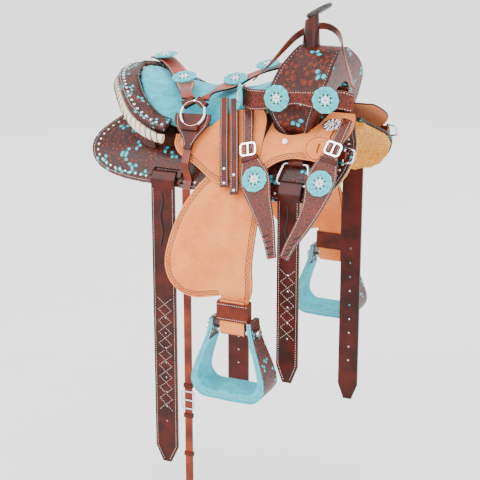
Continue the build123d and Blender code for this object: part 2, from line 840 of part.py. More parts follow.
with BuildPart() as stirrup_lining:
    extrude(Plane.XZ.offset(-bolt_y) * opening_face, amount=60, both=True)
    extrude(Plane.XZ.offset(-bolt_y) * lined_face, amount=60, both=True, mode=Mode.SUBTRACT)
    extrude(stirrup_side.sketch, amount=300, both=True, mode=Mode.INTERSECT)
    with BuildSketch(Plane.XY.offset(lined_top_z)):
        Rectangle(900, 900)
    extrude(amount=100, mode=Mode.SUBTRACT)
save_pair(stirrup_lining.part, "stirrup_lining")

bolt_reach = 49.5
bolt_head_radius = 9.0
bolt_head_thickness = 4.0
with BuildPart() as stirrup_bolt:
    with BuildSketch(Plane.YZ.offset(stirrup_centre_x)):
        with Locations((bolt_y, stirrup_bolt_z)):
            Circle(stirrup_bolt_radius)
    extrude(amount=bolt_reach, both=True)
    for side in (-1, 1):
        with BuildSketch(Plane.YZ.offset(stirrup_centre_x + side * bolt_reach)):
            with Locations((bolt_y, stirrup_bolt_z)):
                Circle(bolt_head_radius)
        extrude(amount=side * bolt_head_thickness)
save_pair(stirrup_bolt.part, "stirrup_bolt")

# Breast collar: two arms from a ring, over the seat to the cantle and along the swell, and a drop
# with the tie-down strap, which runs down the skirt behind the fender.
tie_down_gap = 1.5
tie_down_x = rear_billet_x + billet_window / 2 + plate_margin + tie_down_gap + tie_down_width / 2
tie_offset = drop_in - 0.5 - leather_thickness / 2
skirt_lie = skirt_out + 0.5 + leather_thickness / 2
tie_elbow = on_side(skirt_lie, -78)
with BuildPart() as tie_down_strap:
    with BuildSketch(Plane.YZ.offset(tie_down_x)):
        with BuildLine():
            FilletPolyline(
                on_side(tie_offset, 24),
                on_side(tie_offset, -34),
                on_side(skirt_lie, -56),
                tie_elbow,
                (tie_elbow[0], tie_down_end_z),
                radius=8,
            )
        trace(line_width=leather_thickness)
    extrude(amount=tie_down_width / 2, both=True)
save(tie_down_strap.part, "tie_down_strap")

buckle_wire = 3.0
buckle_y = tie_elbow[0] - leather_thickness / 2 - lay_gap
with BuildPart() as tie_down_buckle:
    with BuildSketch(Plane.XZ.offset(-buckle_y)):
        with Locations((tie_down_x, -545)):
            RectangleRounded(30, 40, 6)
            RectangleRounded(30 - 2 * buckle_wire, 40 - 2 * buckle_wire, 3, mode=Mode.SUBTRACT)
            Rectangle(28, buckle_wire)
    extrude(amount=buckle_wire)
save(tie_down_buckle.part, "tie_down_buckle")

with BuildPart() as collar_drop:
    drop_top = [(-37, 66, 37), (-36, 42, 33)]
    drop_tail = [(tie_down_x, 20, 17), (tie_down_x, 4, 9), (tie_down_x, -4, 8)]
    drop_face = strap_outline(drop_top + drop_tail)
    extrude(side_plane(drop_in) * drop_face, amount=strap_thickness)
save(collar_drop.part, "collar_drop")

ring_offset = drop_out + collar_ring_wire + 0.5
ring_x = -36.0
ring_v = 65.0
with BuildPart() as collar_ring:
    ring_edge = side_plane(ring_offset).from_local_coords((ring_x + collar_ring_radius, ring_v))
    with BuildSketch(Plane(origin=ring_edge, x_dir=(1, 0, 0), z_dir=(0, up_y, up_z))):
        Circle(collar_ring_wire)
    ring_centre = side_plane(ring_offset).from_local_coords((ring_x, ring_v))
    revolve(axis=Axis(ring_centre, (0, out_y, out_z)))
save(collar_ring.part, "collar_ring")


def draped_strap(centres, half_widths):
    """A flat strap lofted along its middle line, lying level across its path."""
    with BuildPart(mode=Mode.PRIVATE) as strap:
        across = []
        for i in range(len(centres)):
            before = Vector(*centres[max(i - 1, 0)])
            after = Vector(*centres[min(i + 1, len(centres) - 1)])
            along = after - before
            across.append(Vector(along.Y, -along.X, 0))
        for plane, half in zip(station_planes(centres, across), half_widths):
            with BuildSketch(plane):
                Rectangle(2 * half, strap_thickness)
        loft()
    return strap.part


arm_start_v = ring_v + collar_ring_radius + collar_ring_wire + 1
cantle_start = tuple(side_plane(ring_offset).from_local_coords((-52, arm_start_v)))
swell_start = tuple(side_plane(ring_offset).from_local_coords((-20, arm_start_v)))
cantle_route = [cantle_start, (-80, -80, 69), (-115, -18, 73), (-160, 34, 87), (-203, 70, 99), (-240, 98, 96)]
swell_route = [swell_start, (-12, -62, 72), (-3, -14, 77), (18, 14, 88), (46, 32, 100), (92, 60, 110)]
collar_arm_cantle = draped_strap(cantle_route, [13, 14, 19, 17, 19, 14])
collar_arm_swell = draped_strap(swell_route, [13, 14, 19, 16, 19, 14])
save(collar_arm_cantle, "collar_arm_cantle")
save(collar_arm_swell, "collar_arm_swell")


def concho(centre, normal):
    """A round concho, its back at the centre given and its face along the normal."""
    with BuildPart(mode=Mode.PRIVATE) as disc:
        with BuildSketch(Plane(origin=centre, z_dir=normal)):
            Circle(concho_radius)
        extrude(amount=concho_thickness)
    return disc.part


concho_rise = 4.5
with BuildPart() as collar_conchos:
    add(concho((-203, 70, 99 + concho_rise + 3), (-0.1, -0.1, 1)))
    add(concho((-115, -18, 73 + concho_rise + 3), (0, -0.3, 0.95)))
    add(concho((-3, -14, 77 + concho_rise + 3), (0, -0.3, 0.95)))
    add(concho((46, 32, 100 + concho_rise + 5), (-0.1, -0.2, 0.97)))
save(collar_conchos.part, "collar_conchos")

with BuildPart() as collar_tugs:
    for top_x, low_x, low_v in ((19, 56, -68), (39, 79, -80)):
        tug_face = strap_outline([(top_x, 104, 8), ((top_x + low_x) / 2, 15, 8), (low_x, low_v, 8)])
        extrude(side_plane(cheek_in) * tug_face, amount=strap_thickness)
save(collar_tugs.part, "collar_tugs")

# Headstall: two tooled cheeks, a brow band, and a crown strap looped behind the horn.
front_cheek = [(72, 88, 10), (80, 50, 10), (90, 8, 11), (101, -20, 20), (115, -48, 29)]
front_cheek += [(134, -88, 22), (155, -128, 16), (169, -162, 11), (179, -190, 9)]
rear_cheek = [(272, 84, 10), (265, 55, 10), (256, 22, 12), (248, -12, 24), (244, -42, 28)]
rear_cheek += [(238, -84, 20), (226, -124, 15), (211, -160, 11), (203, -188, 9)]
with BuildPart() as cheek_front:
    extrude(side_plane(cheek_in) * strap_outline(front_cheek), amount=strap_thickness)
save(cheek_front.part, "cheek_front")
with BuildPart() as cheek_rear:
    extrude(side_plane(cheek_in) * strap_outline(rear_cheek), amount=strap_thickness)
save(cheek_rear.part, "cheek_rear")

with BuildPart() as browband:
    with BuildSketch(Plane.XY.offset(40)):
        with BuildLine():
            FilletPolyline((288, -133), (243, -153), (150, -160), (94, -154), (66, -128), (62, -112), radius=10)
        trace(line_width=strap_thickness)
    extrude(amount=80)
    with BuildSketch(Plane.XZ):
        with BuildLine():
            Spline((58, 95), (80, 95), (150, 98), (215, 101), (263, 104), (292, 96))
            Line((292, 96), (292, 62))
            Spline((292, 62), (254, 70), (221, 69), (186, 74), (156, 67), (116, 58), (85, 56), (58, 58))
            Line((58, 58), (58, 95))
        make_face()
    extrude(amount=300, both=True, mode=Mode.INTERSECT)
save(browband.part, "browband")

crown_radius = 4.0
crown_route = [(78, -108, 103), (100, -76, 132), (116, -36, 162), (123, 2, 177), (142, 33, 189)]
crown_route += [(170, 37, 191), (204, 10, 180), (232, -38, 152), (262, -84, 120), (278, -110, 104)]
with BuildPart() as crown_strap:
    with BuildLine() as crown_path:
        FilletPolyline(*crown_route, radius=12)
    with BuildSketch(Plane(origin=crown_path.line @ 0, z_dir=crown_path.line % 0)):
        Circle(crown_radius)
    sweep(path=crown_path.line)
save(crown_strap.part, "crown_strap")

with BuildPart() as headstall_conchos:
    add(concho((150, -163, 84), (0, -1, 0.1)))
    add(concho((243, -157, 87), (0.2, -1, 0.1)))
    add(concho((67.5, -146, 78), (-0.95, -0.55, 0.1)))
    for x, v in ((115, -48), (244, -42)):
        face_centre = tuple(side_plane(cheek_out + 0.4).from_local_coords((x, v)))
        add(concho(face_centre, (0, out_y, out_z)))
save(headstall_conchos.part, "headstall_conchos")

with BuildPart() as headstall_buckles:
    for x, v, lean in ((90, 8, 14), (257, 25, -14)):
        with BuildSketch(side_plane(cheek_out + lay_gap)):
            with Locations((x, v)):
                RectangleRounded(32, 26, 7, rotation=lean)
                RectangleRounded(26, 20, 4, rotation=lean, mode=Mode.SUBTRACT)
                Rectangle(3, 25, rotation=lean)
        extrude(amount=buckle_wire)
save(headstall_buckles.part, "headstall_buckles")
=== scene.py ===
from math import atan2, cos, pi, radians, sin

import bpy
from mathutils import Matrix, Vector
from mathutils.bvhtree import BVHTree


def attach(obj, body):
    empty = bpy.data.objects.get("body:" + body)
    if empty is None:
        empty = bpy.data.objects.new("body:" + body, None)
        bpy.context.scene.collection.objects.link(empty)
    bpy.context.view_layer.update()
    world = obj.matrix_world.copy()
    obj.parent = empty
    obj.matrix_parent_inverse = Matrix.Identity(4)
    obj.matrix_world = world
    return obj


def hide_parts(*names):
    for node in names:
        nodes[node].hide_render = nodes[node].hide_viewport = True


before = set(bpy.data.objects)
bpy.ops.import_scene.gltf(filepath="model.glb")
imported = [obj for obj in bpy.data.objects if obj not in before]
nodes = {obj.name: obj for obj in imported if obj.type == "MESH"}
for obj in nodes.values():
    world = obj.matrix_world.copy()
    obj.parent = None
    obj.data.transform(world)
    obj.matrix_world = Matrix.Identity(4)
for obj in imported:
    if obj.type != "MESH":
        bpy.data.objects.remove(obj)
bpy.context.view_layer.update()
bpy.ops.object.select_all(action="DESELECT")
mm = 0.001
both_sides = (("right", -1), ("left", 1))

# Camera, floor and light.
# A pale seamless floor under soft studio light.
# The camera stands low in front of the saddle's right side.
camera_azimuth = radians(25)
camera_elevation = radians(17)
camera_distance = 2.6
camera_aim = Vector((0.0296, -0.0637, -0.2297))
camera_back = Vector(
    (
        sin(camera_azimuth) * cos(camera_elevation),
        -cos(camera_azimuth) * cos(camera_elevation),
        sin(camera_elevation),
    )
)
bpy.ops.object.camera_add(location=camera_aim + camera_back * camera_distance)
camera = bpy.context.object
camera.rotation_euler = (-camera_back).to_track_quat("-Z", "Y").to_euler()
camera.data.lens = 97.5
camera.data.dof.use_dof = False
bpy.context.scene.camera = camera


def colour(code):
    """A hex sRGB colour made linear, with full opacity."""
    channels = [int(code[i : i + 2], 16) / 255 for i in (1, 3, 5)]
    linear = [c / 12.92 if c <= 0.04045 else ((c + 0.055) / 1.055) ** 2.4 for c in channels]
    return (*linear, 1.0)


def fill(tree, node, values):
    """Sets a shader node's inputs, each as a constant or a link."""
    for socket, value in values.items():
        if isinstance(value, bpy.types.NodeSocket):
            tree.links.new(value, node.inputs[socket])
        else:
            node.inputs[socket].default_value = value


def put(tree, kind, values=None, **settings):
    """Adds a shader node with its settings, and its inputs as constants or links."""
    made = tree.nodes.new("ShaderNode" + kind)
    for key, value in settings.items():
        setattr(made, key, value)
    fill(tree, made, values or {})
    return made


def new_finish(name):
    """An empty finish: the material, its node tree, its main shader and the Object coordinates."""
    material = bpy.data.materials.new(name)
    material.use_nodes = True
    tree = material.node_tree
    skin = tree.nodes["Principled BSDF"]
    return material, tree, skin, put(tree, "TexCoord").outputs["Object"]


def sum_of(tree, operation, *values):
    """One maths node on sockets or numbers."""
    return put(tree, "Math", dict(enumerate(values)), operation=operation).outputs[0]


def blend_of(tree, factor, first, second):
    """First colour at factor 0, second at 1."""
    return put(tree, "MixRGB", {"Fac": factor, "Color1": first, "Color2": second}).outputs[0]


def step_of(tree, value, low, high):
    """0 below low, 1 above high, smooth between."""
    ranged = put(
        tree,
        "MapRange",
        {"Value": value, "From Min": low, "From Max": high},
        interpolation_type="SMOOTHSTEP",
    )
    return ranged.outputs["Result"]


def share_of(tree, vector, direction):
    """How far a vector reaches along a direction."""
    return put(tree, "VectorMath", {0: vector, 1: direction}, operation="DOT_PRODUCT").outputs["Value"]


def switch_of(tree, factor, first, second):
    """First number at factor 0, second at 1."""
    change = sum_of(tree, "MULTIPLY", factor, sum_of(tree, "SUBTRACT", second, first))
    return sum_of(tree, "ADD", first, change)


def noise_of(tree, place, scale, detail=2.0, **others):
    """Cloudy noise from 0 to 1."""
    return put(tree, "TexNoise", {"Vector": place, "Scale": scale, "Detail": detail, **others}).outputs["Fac"]


def studio_floor():
    """Matt pale floor with a faint unevenness."""
    material, tree, skin, place = new_finish("studio_floor")
    tint = blend_of(tree, noise_of(tree, place, 3.0), colour("#f4f4f4"), colour("#fafafa"))
    fill(tree, skin, {"Base Color": tint, "Roughness": 0.9})
    return material


floor_z = -0.79
bpy.ops.mesh.primitive_plane_add(size=30, location=(0, 0, floor_z))
floor = bpy.context.object
floor.name = "floor"
floor.data.materials.append(studio_floor())

world = bpy.data.worlds.new("studio")
bpy.context.scene.world = world
world.use_nodes = True
world.node_tree.nodes["Background"].inputs["Color"].default_value = colour("#f5f6f8")
world.node_tree.nodes["Background"].inputs["Strength"].default_value = 2.3
for light_name, place, power, size in (
    ("key_light", (-1.3, -2.4, 2.1), 70, 1.6),
    ("fill_light", (2.4, -1.6, 0.9), 26, 1.8),
    ("back_light", (0.6, 2.4, 1.8), 40, 1.2),
):
    bpy.ops.object.light_add(type="AREA", location=place)
    lamp = bpy.context.object
    lamp.name = light_name
    lamp.data.energy = power
    lamp.data.size = size
    lamp.rotation_euler = (Vector((0, 0, -0.2)) - Vector(place)).to_track_quat("-Z", "Y").to_euler()

# Leathers of the saddle.
# Dyed chestnut leather, natural rough-out leather and floral tooled leather.
# All read Object coordinates, so the grain and the tooling keep one scale everywhere.
side_tilt = radians(28)
foot_y = 0.115
foot_z = -0.050
side_foot = Vector((0, -foot_y, foot_z))
x_axis = Vector((1, 0, 0))
y_axis = Vector((0, 1, 0))
z_axis = Vector((0, 0, 1))


def side_up(side):
    """Up the slant of one side; -1 is the right side and 1 the left."""
    return Vector((0, -side * sin(side_tilt), cos(side_tilt)))


def side_out(side):
    """Straight out of one side's slant."""
    return Vector((0, side * cos(side_tilt), sin(side_tilt)))


def bump_of(tree, strength, distance, height, **others):
    """A bump from a height."""
    values = {"Strength": strength, "Distance": distance, "Height": height, **others}
    return put(tree, "Bump", values).outputs[0]


def grain_of(tree, place, scale, strength, height=None, lift=0.0006):
    """Pebbled leather grain as a bump, over an optional larger relief."""
    cells = put(tree, "TexVoronoi", {"Vector": place, "Scale": scale, "Randomness": 0.9})
    fine = bump_of(tree, strength, 0.0005, cells.outputs["Distance"])
    if height is None:
        return fine
    return bump_of(tree, 0.9, lift, height, Normal=fine)


def dark_edges(tree, tint, facing, edge_colour):
    """Turns a strap's cut edges dark: those faces look away from the strap's facing direction."""
    if facing is None:
        return tint
    dot = share_of(tree, put(tree, "TexCoord").outputs["Normal"], facing)
    edge = step_of(tree, sum_of(tree, "ABSOLUTE", dot), 0.75, 0.45)
    return blend_of(tree, edge, tint, edge_colour)


def strap_leather(name, light, dark, roughness=0.38, coat=0.25, facing=None, grain=900, edge="#1d0c07"):
    """Smooth dyed leather with cloudy dye, pores and burnished dark edges."""
    material, tree, skin, place = new_finish(name)
    cloud = noise_of(tree, place, 28.0, 5.0)
    tint = blend_of(tree, step_of(tree, cloud, 0.32, 0.68), colour(dark), colour(light))
    pores = noise_of(tree, place, 420.0)
    tint = blend_of(tree, step_of(tree, pores, 0.62, 0.78), tint, colour(dark))
    values = {
        "Base Color": dark_edges(tree, tint, facing, colour(edge)),
        "Roughness": sum_of(tree, "MULTIPLY_ADD", cloud, 0.22, roughness - 0.11),
        "Specular IOR Level": 0.2,
        "Coat Weight": coat * 0.25,
        "Coat Roughness": 0.3,
        "Normal": grain_of(tree, place, grain, 0.25),
    }
    fill(tree, skin, values)
    return material


def roughout_leather(name, facing):
    """Natural leather with its fuzzy flesh side out: matt peach with short nap and soft mottling."""
    material, tree, skin, place = new_finish(name)
    cloud = noise_of(tree, place, 14.0, 6.0, Roughness=0.65)
    nap = noise_of(tree, place, 520.0, 3.0)
    tint = blend_of(tree, step_of(tree, cloud, 0.3, 0.7), colour("#dd7638"), colour("#f0904f"))
    tint = blend_of(tree, step_of(tree, nap, 0.5, 0.8), tint, colour("#bf5f2c"))
    tint = dark_edges(tree, tint, facing, colour("#3a1a10"))
    values = {"Base Color": tint, "Roughness": 0.88, "Sheen Weight": 0.08, "Specular IOR Level": 0.2}
    fill(tree, skin, {**values, "Normal": bump_of(tree, 0.5, 0.0006, nap)})
    return material


def faces_along(tree, normal, direction):
    """1 on faces that look along a direction, either way, and 0 elsewhere."""
    return sum_of(tree, "GREATER_THAN", sum_of(tree, "ABSOLUTE", share_of(tree, normal, direction)), 0.7)


def tooled_leather(
    name,
    along,
    across,
    flower=34.0,
    inlaid=0.5,
    light="#7d2607",
    dark="#300a02",
    facing=None,
    suede_facing=None,
):
    """Chestnut leather carved with five-petalled flowers on a dark matted ground, some inlaid in turquoise.

    The pattern lies flat in the plane of the two directions.
    Faces towards suede_facing are covered in suede."""
    material, tree, skin, place = new_finish(name)
    normal = put(tree, "TexCoord").outputs["Normal"]
    through = share_of(tree, place, along.cross(across))
    end_faces = faces_along(tree, normal, along)
    top_faces = faces_along(tree, normal, across)
    flat_x = switch_of(tree, end_faces, share_of(tree, place, along), through)
    flat_y = switch_of(tree, top_faces, share_of(tree, place, across), through)
    flat = put(tree, "CombineXYZ", {"X": flat_x, "Y": flat_y}).outputs[0]
    spread = {"Vector": flat, "Scale": flower, "Randomness": 0.55}
    heads = put(tree, "TexVoronoi", spread, voronoi_dimensions="2D")
    away = put(tree, "VectorMath", {0: flat, 1: heads.outputs["Position"]}, operation="SUBTRACT").outputs[0]
    parts = put(tree, "SeparateXYZ", {0: away})
    angle = sum_of(tree, "ARCTAN2", parts.outputs["Y"], parts.outputs["X"])
    chance = put(tree, "SeparateColor", {0: heads.outputs["Color"]})
    turned = sum_of(tree, "MULTIPLY_ADD", chance.outputs[1], 6.28, angle)
    lobes = sum_of(tree, "COSINE", sum_of(tree, "MULTIPLY", turned, 5.0))
    reach = heads.outputs["Distance"]
    rim = sum_of(tree, "MULTIPLY_ADD", lobes, 0.09, 0.37)
    inside = sum_of(tree, "SUBTRACT", rim, reach)
    petal = step_of(tree, inside, 0.0, 0.07)
    valley = step_of(tree, lobes, -0.55, -0.95)
    petal = sum_of(tree, "MULTIPLY", petal, sum_of(tree, "SUBTRACT", 1.0, valley))
    button = step_of(tree, reach, 0.13, 0.09)
    ring = sum_of(tree, "MULTIPLY", step_of(tree, reach, 0.12, 0.15), step_of(tree, reach, 0.19, 0.16))
    matting = put(tree, "TexVoronoi", {"Vector": place, "Scale": 520.0}).outputs["Distance"]
    vines = noise_of(tree, flat, 70.0, 1.0, Distortion=1.6)
    vine = sum_of(tree, "ABSOLUTE", sum_of(tree, "SUBTRACT", vines, 0.5))
    leaf = sum_of(tree, "MULTIPLY", step_of(tree, vine, 0.05, 0.02), sum_of(tree, "SUBTRACT", 1.0, petal))
    raised = sum_of(tree, "MAXIMUM", sum_of(tree, "MAXIMUM", petal, leaf), button)
    cloud = noise_of(tree, place, 30.0, 4.0)
    ground = blend_of(tree, step_of(tree, matting, 0.1, 0.6), colour("#120402"), colour(dark))
    dyed = blend_of(tree, cloud, colour(dark), colour(light))
    tint = blend_of(tree, raised, ground, dyed)
    turquoise = blend_of(tree, cloud, colour("#00a0b0"), colour("#22cdd8"))
    picked = sum_of(tree, "LESS_THAN", chance.outputs[0], inlaid)
    fan = sum_of(tree, "GREATER_THAN", sum_of(tree, "COSINE", turned), -0.35)
    picked = sum_of(tree, "MULTIPLY", picked, fan)
    tint = blend_of(tree, sum_of(tree, "MULTIPLY", petal, picked), tint, turquoise)
    tint = blend_of(tree, sum_of(tree, "MAXIMUM", ring, button), tint, colour("#35140b"))
    tint = dark_edges(tree, tint, facing, colour("#1d0c07"))
    if suede_facing is not None:
        covered = faces_along(tree, normal, suede_facing)
        nap = noise_of(tree, place, 260.0, 4.0)
        tint = blend_of(tree, covered, tint, blend_of(tree, nap, colour("#0798aa"), colour("#1fb9c9")))
    carved = sum_of(tree, "SUBTRACT", raised, ring)
    height = sum_of(tree, "MULTIPLY_ADD", carved, 1.0, sum_of(tree, "MULTIPLY", matting, 0.25))
    values = {
        "Base Color": tint,
        "Roughness": 0.45,
        "Specular IOR Level": 0.3,
        "Coat Weight": 0.12,
        "Coat Roughness": 0.25,
        "Normal": grain_of(tree, place, 800.0, 0.15, height, lift=0.0012),
    }
    fill(tree, skin, values)
    return material


def suede(name, light="#1fb9c9", dark="#0798aa"):
    """Turquoise suede: matt, with brushed nap and a soft sheen."""
    material, tree, skin, place = new_finish(name)
    brushed = noise_of(tree, place, 45.0, 6.0, Distortion=0.6)
    nap = noise_of(tree, place, 800.0)
    tint = blend_of(tree, step_of(tree, brushed, 0.3, 0.7), colour(dark), colour(light))
    fuzz = bump_of(tree, 0.45, 0.0005, nap)
    fill(tree, skin, {"Base Color": tint, "Roughness": 0.92, "Sheen Weight": 0.15, "Normal": fuzz})
    return material


def plain_finish(name, code, roughness=0.5, metallic=0.0, wear="#ffffff", amount=0.1, scale=60.0):
    """A simple coloured finish with a little uneven wear in colour and roughness."""
    material, tree, skin, place = new_finish(name)
    cloud = noise_of(tree, place, scale, 4.0)
    worn = sum_of(tree, "MULTIPLY", step_of(tree, cloud, 0.45, 0.75), amount)
    values = {
        "Base Color": blend_of(tree, worn, colour(code), colour(wear)),
        "Roughness": sum_of(tree, "MULTIPLY_ADD", cloud, 0.2, roughness - 0.1),
        "Metallic": metallic,
        "Normal": bump_of(tree, 0.08, 0.0003, noise_of(tree, place, 700.0)),
    }
    fill(tree, skin, values)
    return material


chrome = plain_finish("chrome_plate", "#d9dadd", 0.16, 1.0, "#8a8a8c", 0.25, 90.0)
white_thread = plain_finish("white_thread", "#efe7da", 0.7, 0.0, "#c9b79b", 0.3, 400.0)
dark_cord = plain_finish("dark_cord", "#2a130c", 0.5, 0.0, "#5a2c1a", 0.4, 300.0)
black_lace = plain_finish("black_lace", "#15100e", 0.55, 0.0, "#3b302b", 0.4, 300.0)
silver_spot = plain_finish("silver_spot", "#e9eaec", 0.2, 1.0, "#9b9b9b", 0.2, 200.0)
white_spot = plain_finish("white_spot", "#f4efe6", 0.3, 0.1, "#cfc4b2", 0.3, 300.0)
enamel = plain_finish("turquoise_enamel", "#27b7bd", 0.3, 0.0, "#0e7f8c", 0.55, 140.0)
crystal = plain_finish("white_crystal", "#fbfbff", 0.08, 0.0, "#dfe6ff", 0.3, 500.0)
pink_stone = plain_finish("pink_stone", "#e58fb4", 0.15, 0.0, "#fbd3e4", 0.5, 400.0)
cream_petal = plain_finish("cream_petal", "#efe0cf", 0.4, 0.0, "#e9b8b4", 0.6, 200.0)


def dress(material, *names):
    """Gives CAD nodes their finish."""
    for name in names:
        mesh = nodes[name].data
        mesh.materials.clear()
        mesh.materials.append(material)


# Working aids for trim.
# Thread, spots and cords are laid on the leather: each is dropped straight onto the CAD surface.
# What repeats is modelled once, copied, and joined into one piece.
surfaces = {}
clear_of_side = 0.3
thread_rise = 0.15 * mm
spot_rise = 0.1 * mm


def land(node, start, direction):
    """Where a straight line first meets a CAD node, and the surface's normal there."""
    if node not in surfaces:
        mesh = nodes[node].data
        surfaces[node] = BVHTree.FromPolygons(
            [v.co.copy() for v in mesh.vertices], [tuple(p.vertices) for p in mesh.polygons]
        )
    point, normal, _, _ = surfaces[node].ray_cast(start, direction)
    if point is None:
        return None
    if normal.dot(direction) > 0:
        normal = -normal
    return point, normal


def above_side(x, v, side):
    """A point well outside one side, over (x, v) of its slanted plane in millimetres."""
    foot = Vector((x * mm, side * foot_y, foot_z))
    return foot + side_up(side) * v * mm + side_out(side) * clear_of_side


def smooth_path(points, steps=10):
    """A smooth line through the points."""
    vectors = [Vector(p) for p in points]
    last = len(vectors) - 1
    line = []
    for i in range(last):
        before, a, b, after = (vectors[min(max(i + k, 0), last)] for k in (-1, 0, 1, 2))
        for k in range(steps):
            t = k / steps
            bend = (b - before) * t + (2 * before - 5 * a + 4 * b - after) * t * t
            line.append(0.5 * (2 * a + bend + (3 * a - before - 3 * b + after) * t**3))
    line.append(vectors[-1])
    return line


def even_steps(line, spacing):
    """Points at even spacing along a line."""
    steps = [line[0].copy()]
    left = spacing
    for a, b in zip(line, line[1:]):
        length = (b - a).length
        while length > left:
            a = a + (b - a) * (left / length)
            steps.append(a.copy())
            length = (b - a).length
            left = spacing
        left -= length
    return steps


def inset_line(line, amount):
    """A flat line moved sideways: to its left for positive amounts."""
    moved = []
    for i, point in enumerate(line):
        along = line[min(i + 1, len(line) - 1)] - line[max(i - 1, 0)]
        sideways = Vector((-along.y, along.x)).normalized()
        moved.append(point + sideways * amount)
    return moved


def laid_frames(node, starts, direction, rise):
    """A placing matrix for each start that lands: x along the run, z out of the leather."""
    hits = [land(node, start, direction) for start in starts]
    hits = [hit for hit in hits if hit]
    frames = []
    for i, (point, normal) in enumerate(hits):
        along = hits[min(i + 1, len(hits) - 1)][0] - hits[max(i - 1, 0)][0]
        along = (along - normal * along.dot(normal)).normalized()
        turn = Matrix((along, normal.cross(along), normal)).transposed().to_4x4()
        frames.append(Matrix.Translation(point + normal * rise) @ turn)
    return frames


def copies(name, original, places, body):
    """Copies of one small piece, joined to one object."""
    bpy.ops.object.select_all(action="DESELECT")
    for place in places:
        twin = original.copy()
        twin.data = original.data.copy()
        twin.matrix_world = place @ original.matrix_world
        bpy.context.collection.objects.link(twin)
        twin.select_set(True)
    bpy.context.view_layer.objects.active = twin
    bpy.ops.object.join()
    made = bpy.context.object
    bpy.ops.object.transform_apply(location=True, rotation=True, scale=True)
    made.name = name
    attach(made, body)
    bpy.ops.object.select_all(action="DESELECT")
    return made


def small_ball(name, size, material, segments=10, rings=6):
    """A ball squashed to three sizes, modelled at the origin to be copied."""
    bpy.ops.mesh.primitive_uv_sphere_add(segments=segments, ring_count=rings, radius=1.0)
    ball = bpy.context.object
    ball.name = name
    ball.scale = size
    bpy.ops.object.transform_apply(scale=True)
    bpy.ops.object.shade_smooth()
    ball.data.materials.append(material)
    bpy.ops.object.select_all(action="DESELECT")
    return ball


stitch_model = small_ball("stitch_model", (1.6 * mm, 0.38 * mm, 0.35 * mm), white_thread, 8, 5)
spot_model = small_ball("spot_model", (2.4 * mm, 2.4 * mm, 1.1 * mm), white_spot, 14, 8)
silver_model = small_ball("silver_model", (3.1 * mm, 3.1 * mm, 1.5 * mm), silver_spot, 16, 8)
models = [stitch_model, spot_model, silver_model]


def stitches(name, node, starts, direction, body, spacing=4.6 * mm):
    """A row of thread along a line over the node."""
    frames = laid_frames(node, even_steps(starts, spacing), direction, thread_rise)
    return copies(name, stitch_model, frames, body)


def cord_on(name, node, starts, direction, body, slot, material, radius, rise=0.1 * mm):
    """A thin raised line or cord that follows the node's surface."""
    frames = laid_frames(node, starts, direction, rise)
    return tube(name, [f.translation for f in frames], radius, body, material)


def tube(name, points, radius, body, material, resolution=3):
    """A round cord through the points, as a mesh."""
    shape = bpy.data.curves.new(name, "CURVE")
    shape.dimensions = "3D"
    shape.bevel_depth = radius
    shape.bevel_resolution = resolution
    shape.use_fill_caps = True
    spline = shape.splines.new("POLY")
    spline.points.add(len(points) - 1)
    for knot, point in zip(spline.points, points):
        knot.co = (*point, 1.0)
    made = bpy.data.objects.new(name, shape)
    bpy.context.collection.objects.link(made)
    bpy.context.view_layer.objects.active = made
    made.select_set(True)
    bpy.ops.object.convert(target="MESH")
    made = bpy.context.object
    bpy.ops.object.shade_smooth()
    made.data.materials.clear()
    made.data.materials.append(material)
    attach(made, body)
    bpy.ops.object.select_all(action="DESELECT")
    return made


def over_side(line, side):
    """Lifts a flat line of (x, v) in millimetres to start points outside one side."""
    return [above_side(p.x, p.y, side) for p in line]


# Skirts and fleece.
# Two tooled leather panels with a plain border, lined below with golden fleece.
# The border carries a row of white spots and a line of white thread.
skirt_edge = [(-214, 122), (-232, 79), (-257, 35), (-263, -8), (-248, -38), (-211, -59), (-152, -69)]
skirt_edge += [(-80, -72), (20, -74), (120, -76), (210, -73), (250, -52), (268, -28), (279, 5), (278, 45)]
skirt_edge += [(258, 90), (250, 122)]
skirt_line = smooth_path(skirt_edge)
for side_name, side in both_sides:
    skirt = "skirt_" + side_name
    inward = -side_out(side)
    tooling = tooled_leather(
        "skirt_tooling_" + side_name, x_axis, side_up(side), 36.0, 0.55, facing=side_out(side)
    )
    dress(tooling, skirt)
    thread_line = over_side(inset_line(skirt_line, 4.5), side)
    stitches("skirt_thread_" + side_name, skirt, thread_line, inward, "saddle")
    spots = even_steps(over_side(inset_line(skirt_line, 13), side), 12 * mm)
    spot_places = laid_frames(skirt, spots, inward, spot_rise)
    copies("skirt_spots_" + side_name, spot_model, spot_places, "saddle")
    for gap in (9.0, 17.0):
        bead_name = f"skirt_bead_{int(gap)}_{side_name}"
        bead_line = over_side(inset_line(skirt_line, gap), side)
        cord_on(bead_name, skirt, bead_line, inward, "saddle", "tooled_leather", dark_cord, 0.6 * mm, 0.0)



def golden_fleece():
    """Deep golden sheepskin wool, with painted shade darkening the gaps between the curls."""
    material, tree, skin, place = new_finish("golden_fleece")
    curls = put(tree, "TexVoronoi", {"Vector": place, "Scale": 190.0, "Randomness": 1.0}).outputs["Distance"]
    wool = noise_of(tree, place, 350.0, 6.0, Distortion=2.0)
    # Painted shade: the wool colour darkens from each curl's top to the gaps between the curls.
    tint = blend_of(tree, step_of(tree, curls, 0.1, 0.7), colour("#ffb000"), colour("#e08a00"))
    tint = blend_of(tree, step_of(tree, wool, 0.5, 0.75), tint, colour("#ffd04a"))
    bump = bump_of(tree, 1.0, 0.004, sum_of(tree, "SUBTRACT", wool, curls))
    fill(tree, skin, {"Base Color": tint, "Roughness": 1.0, "Sheen Weight": 0.2, "Normal": bump})
    return material


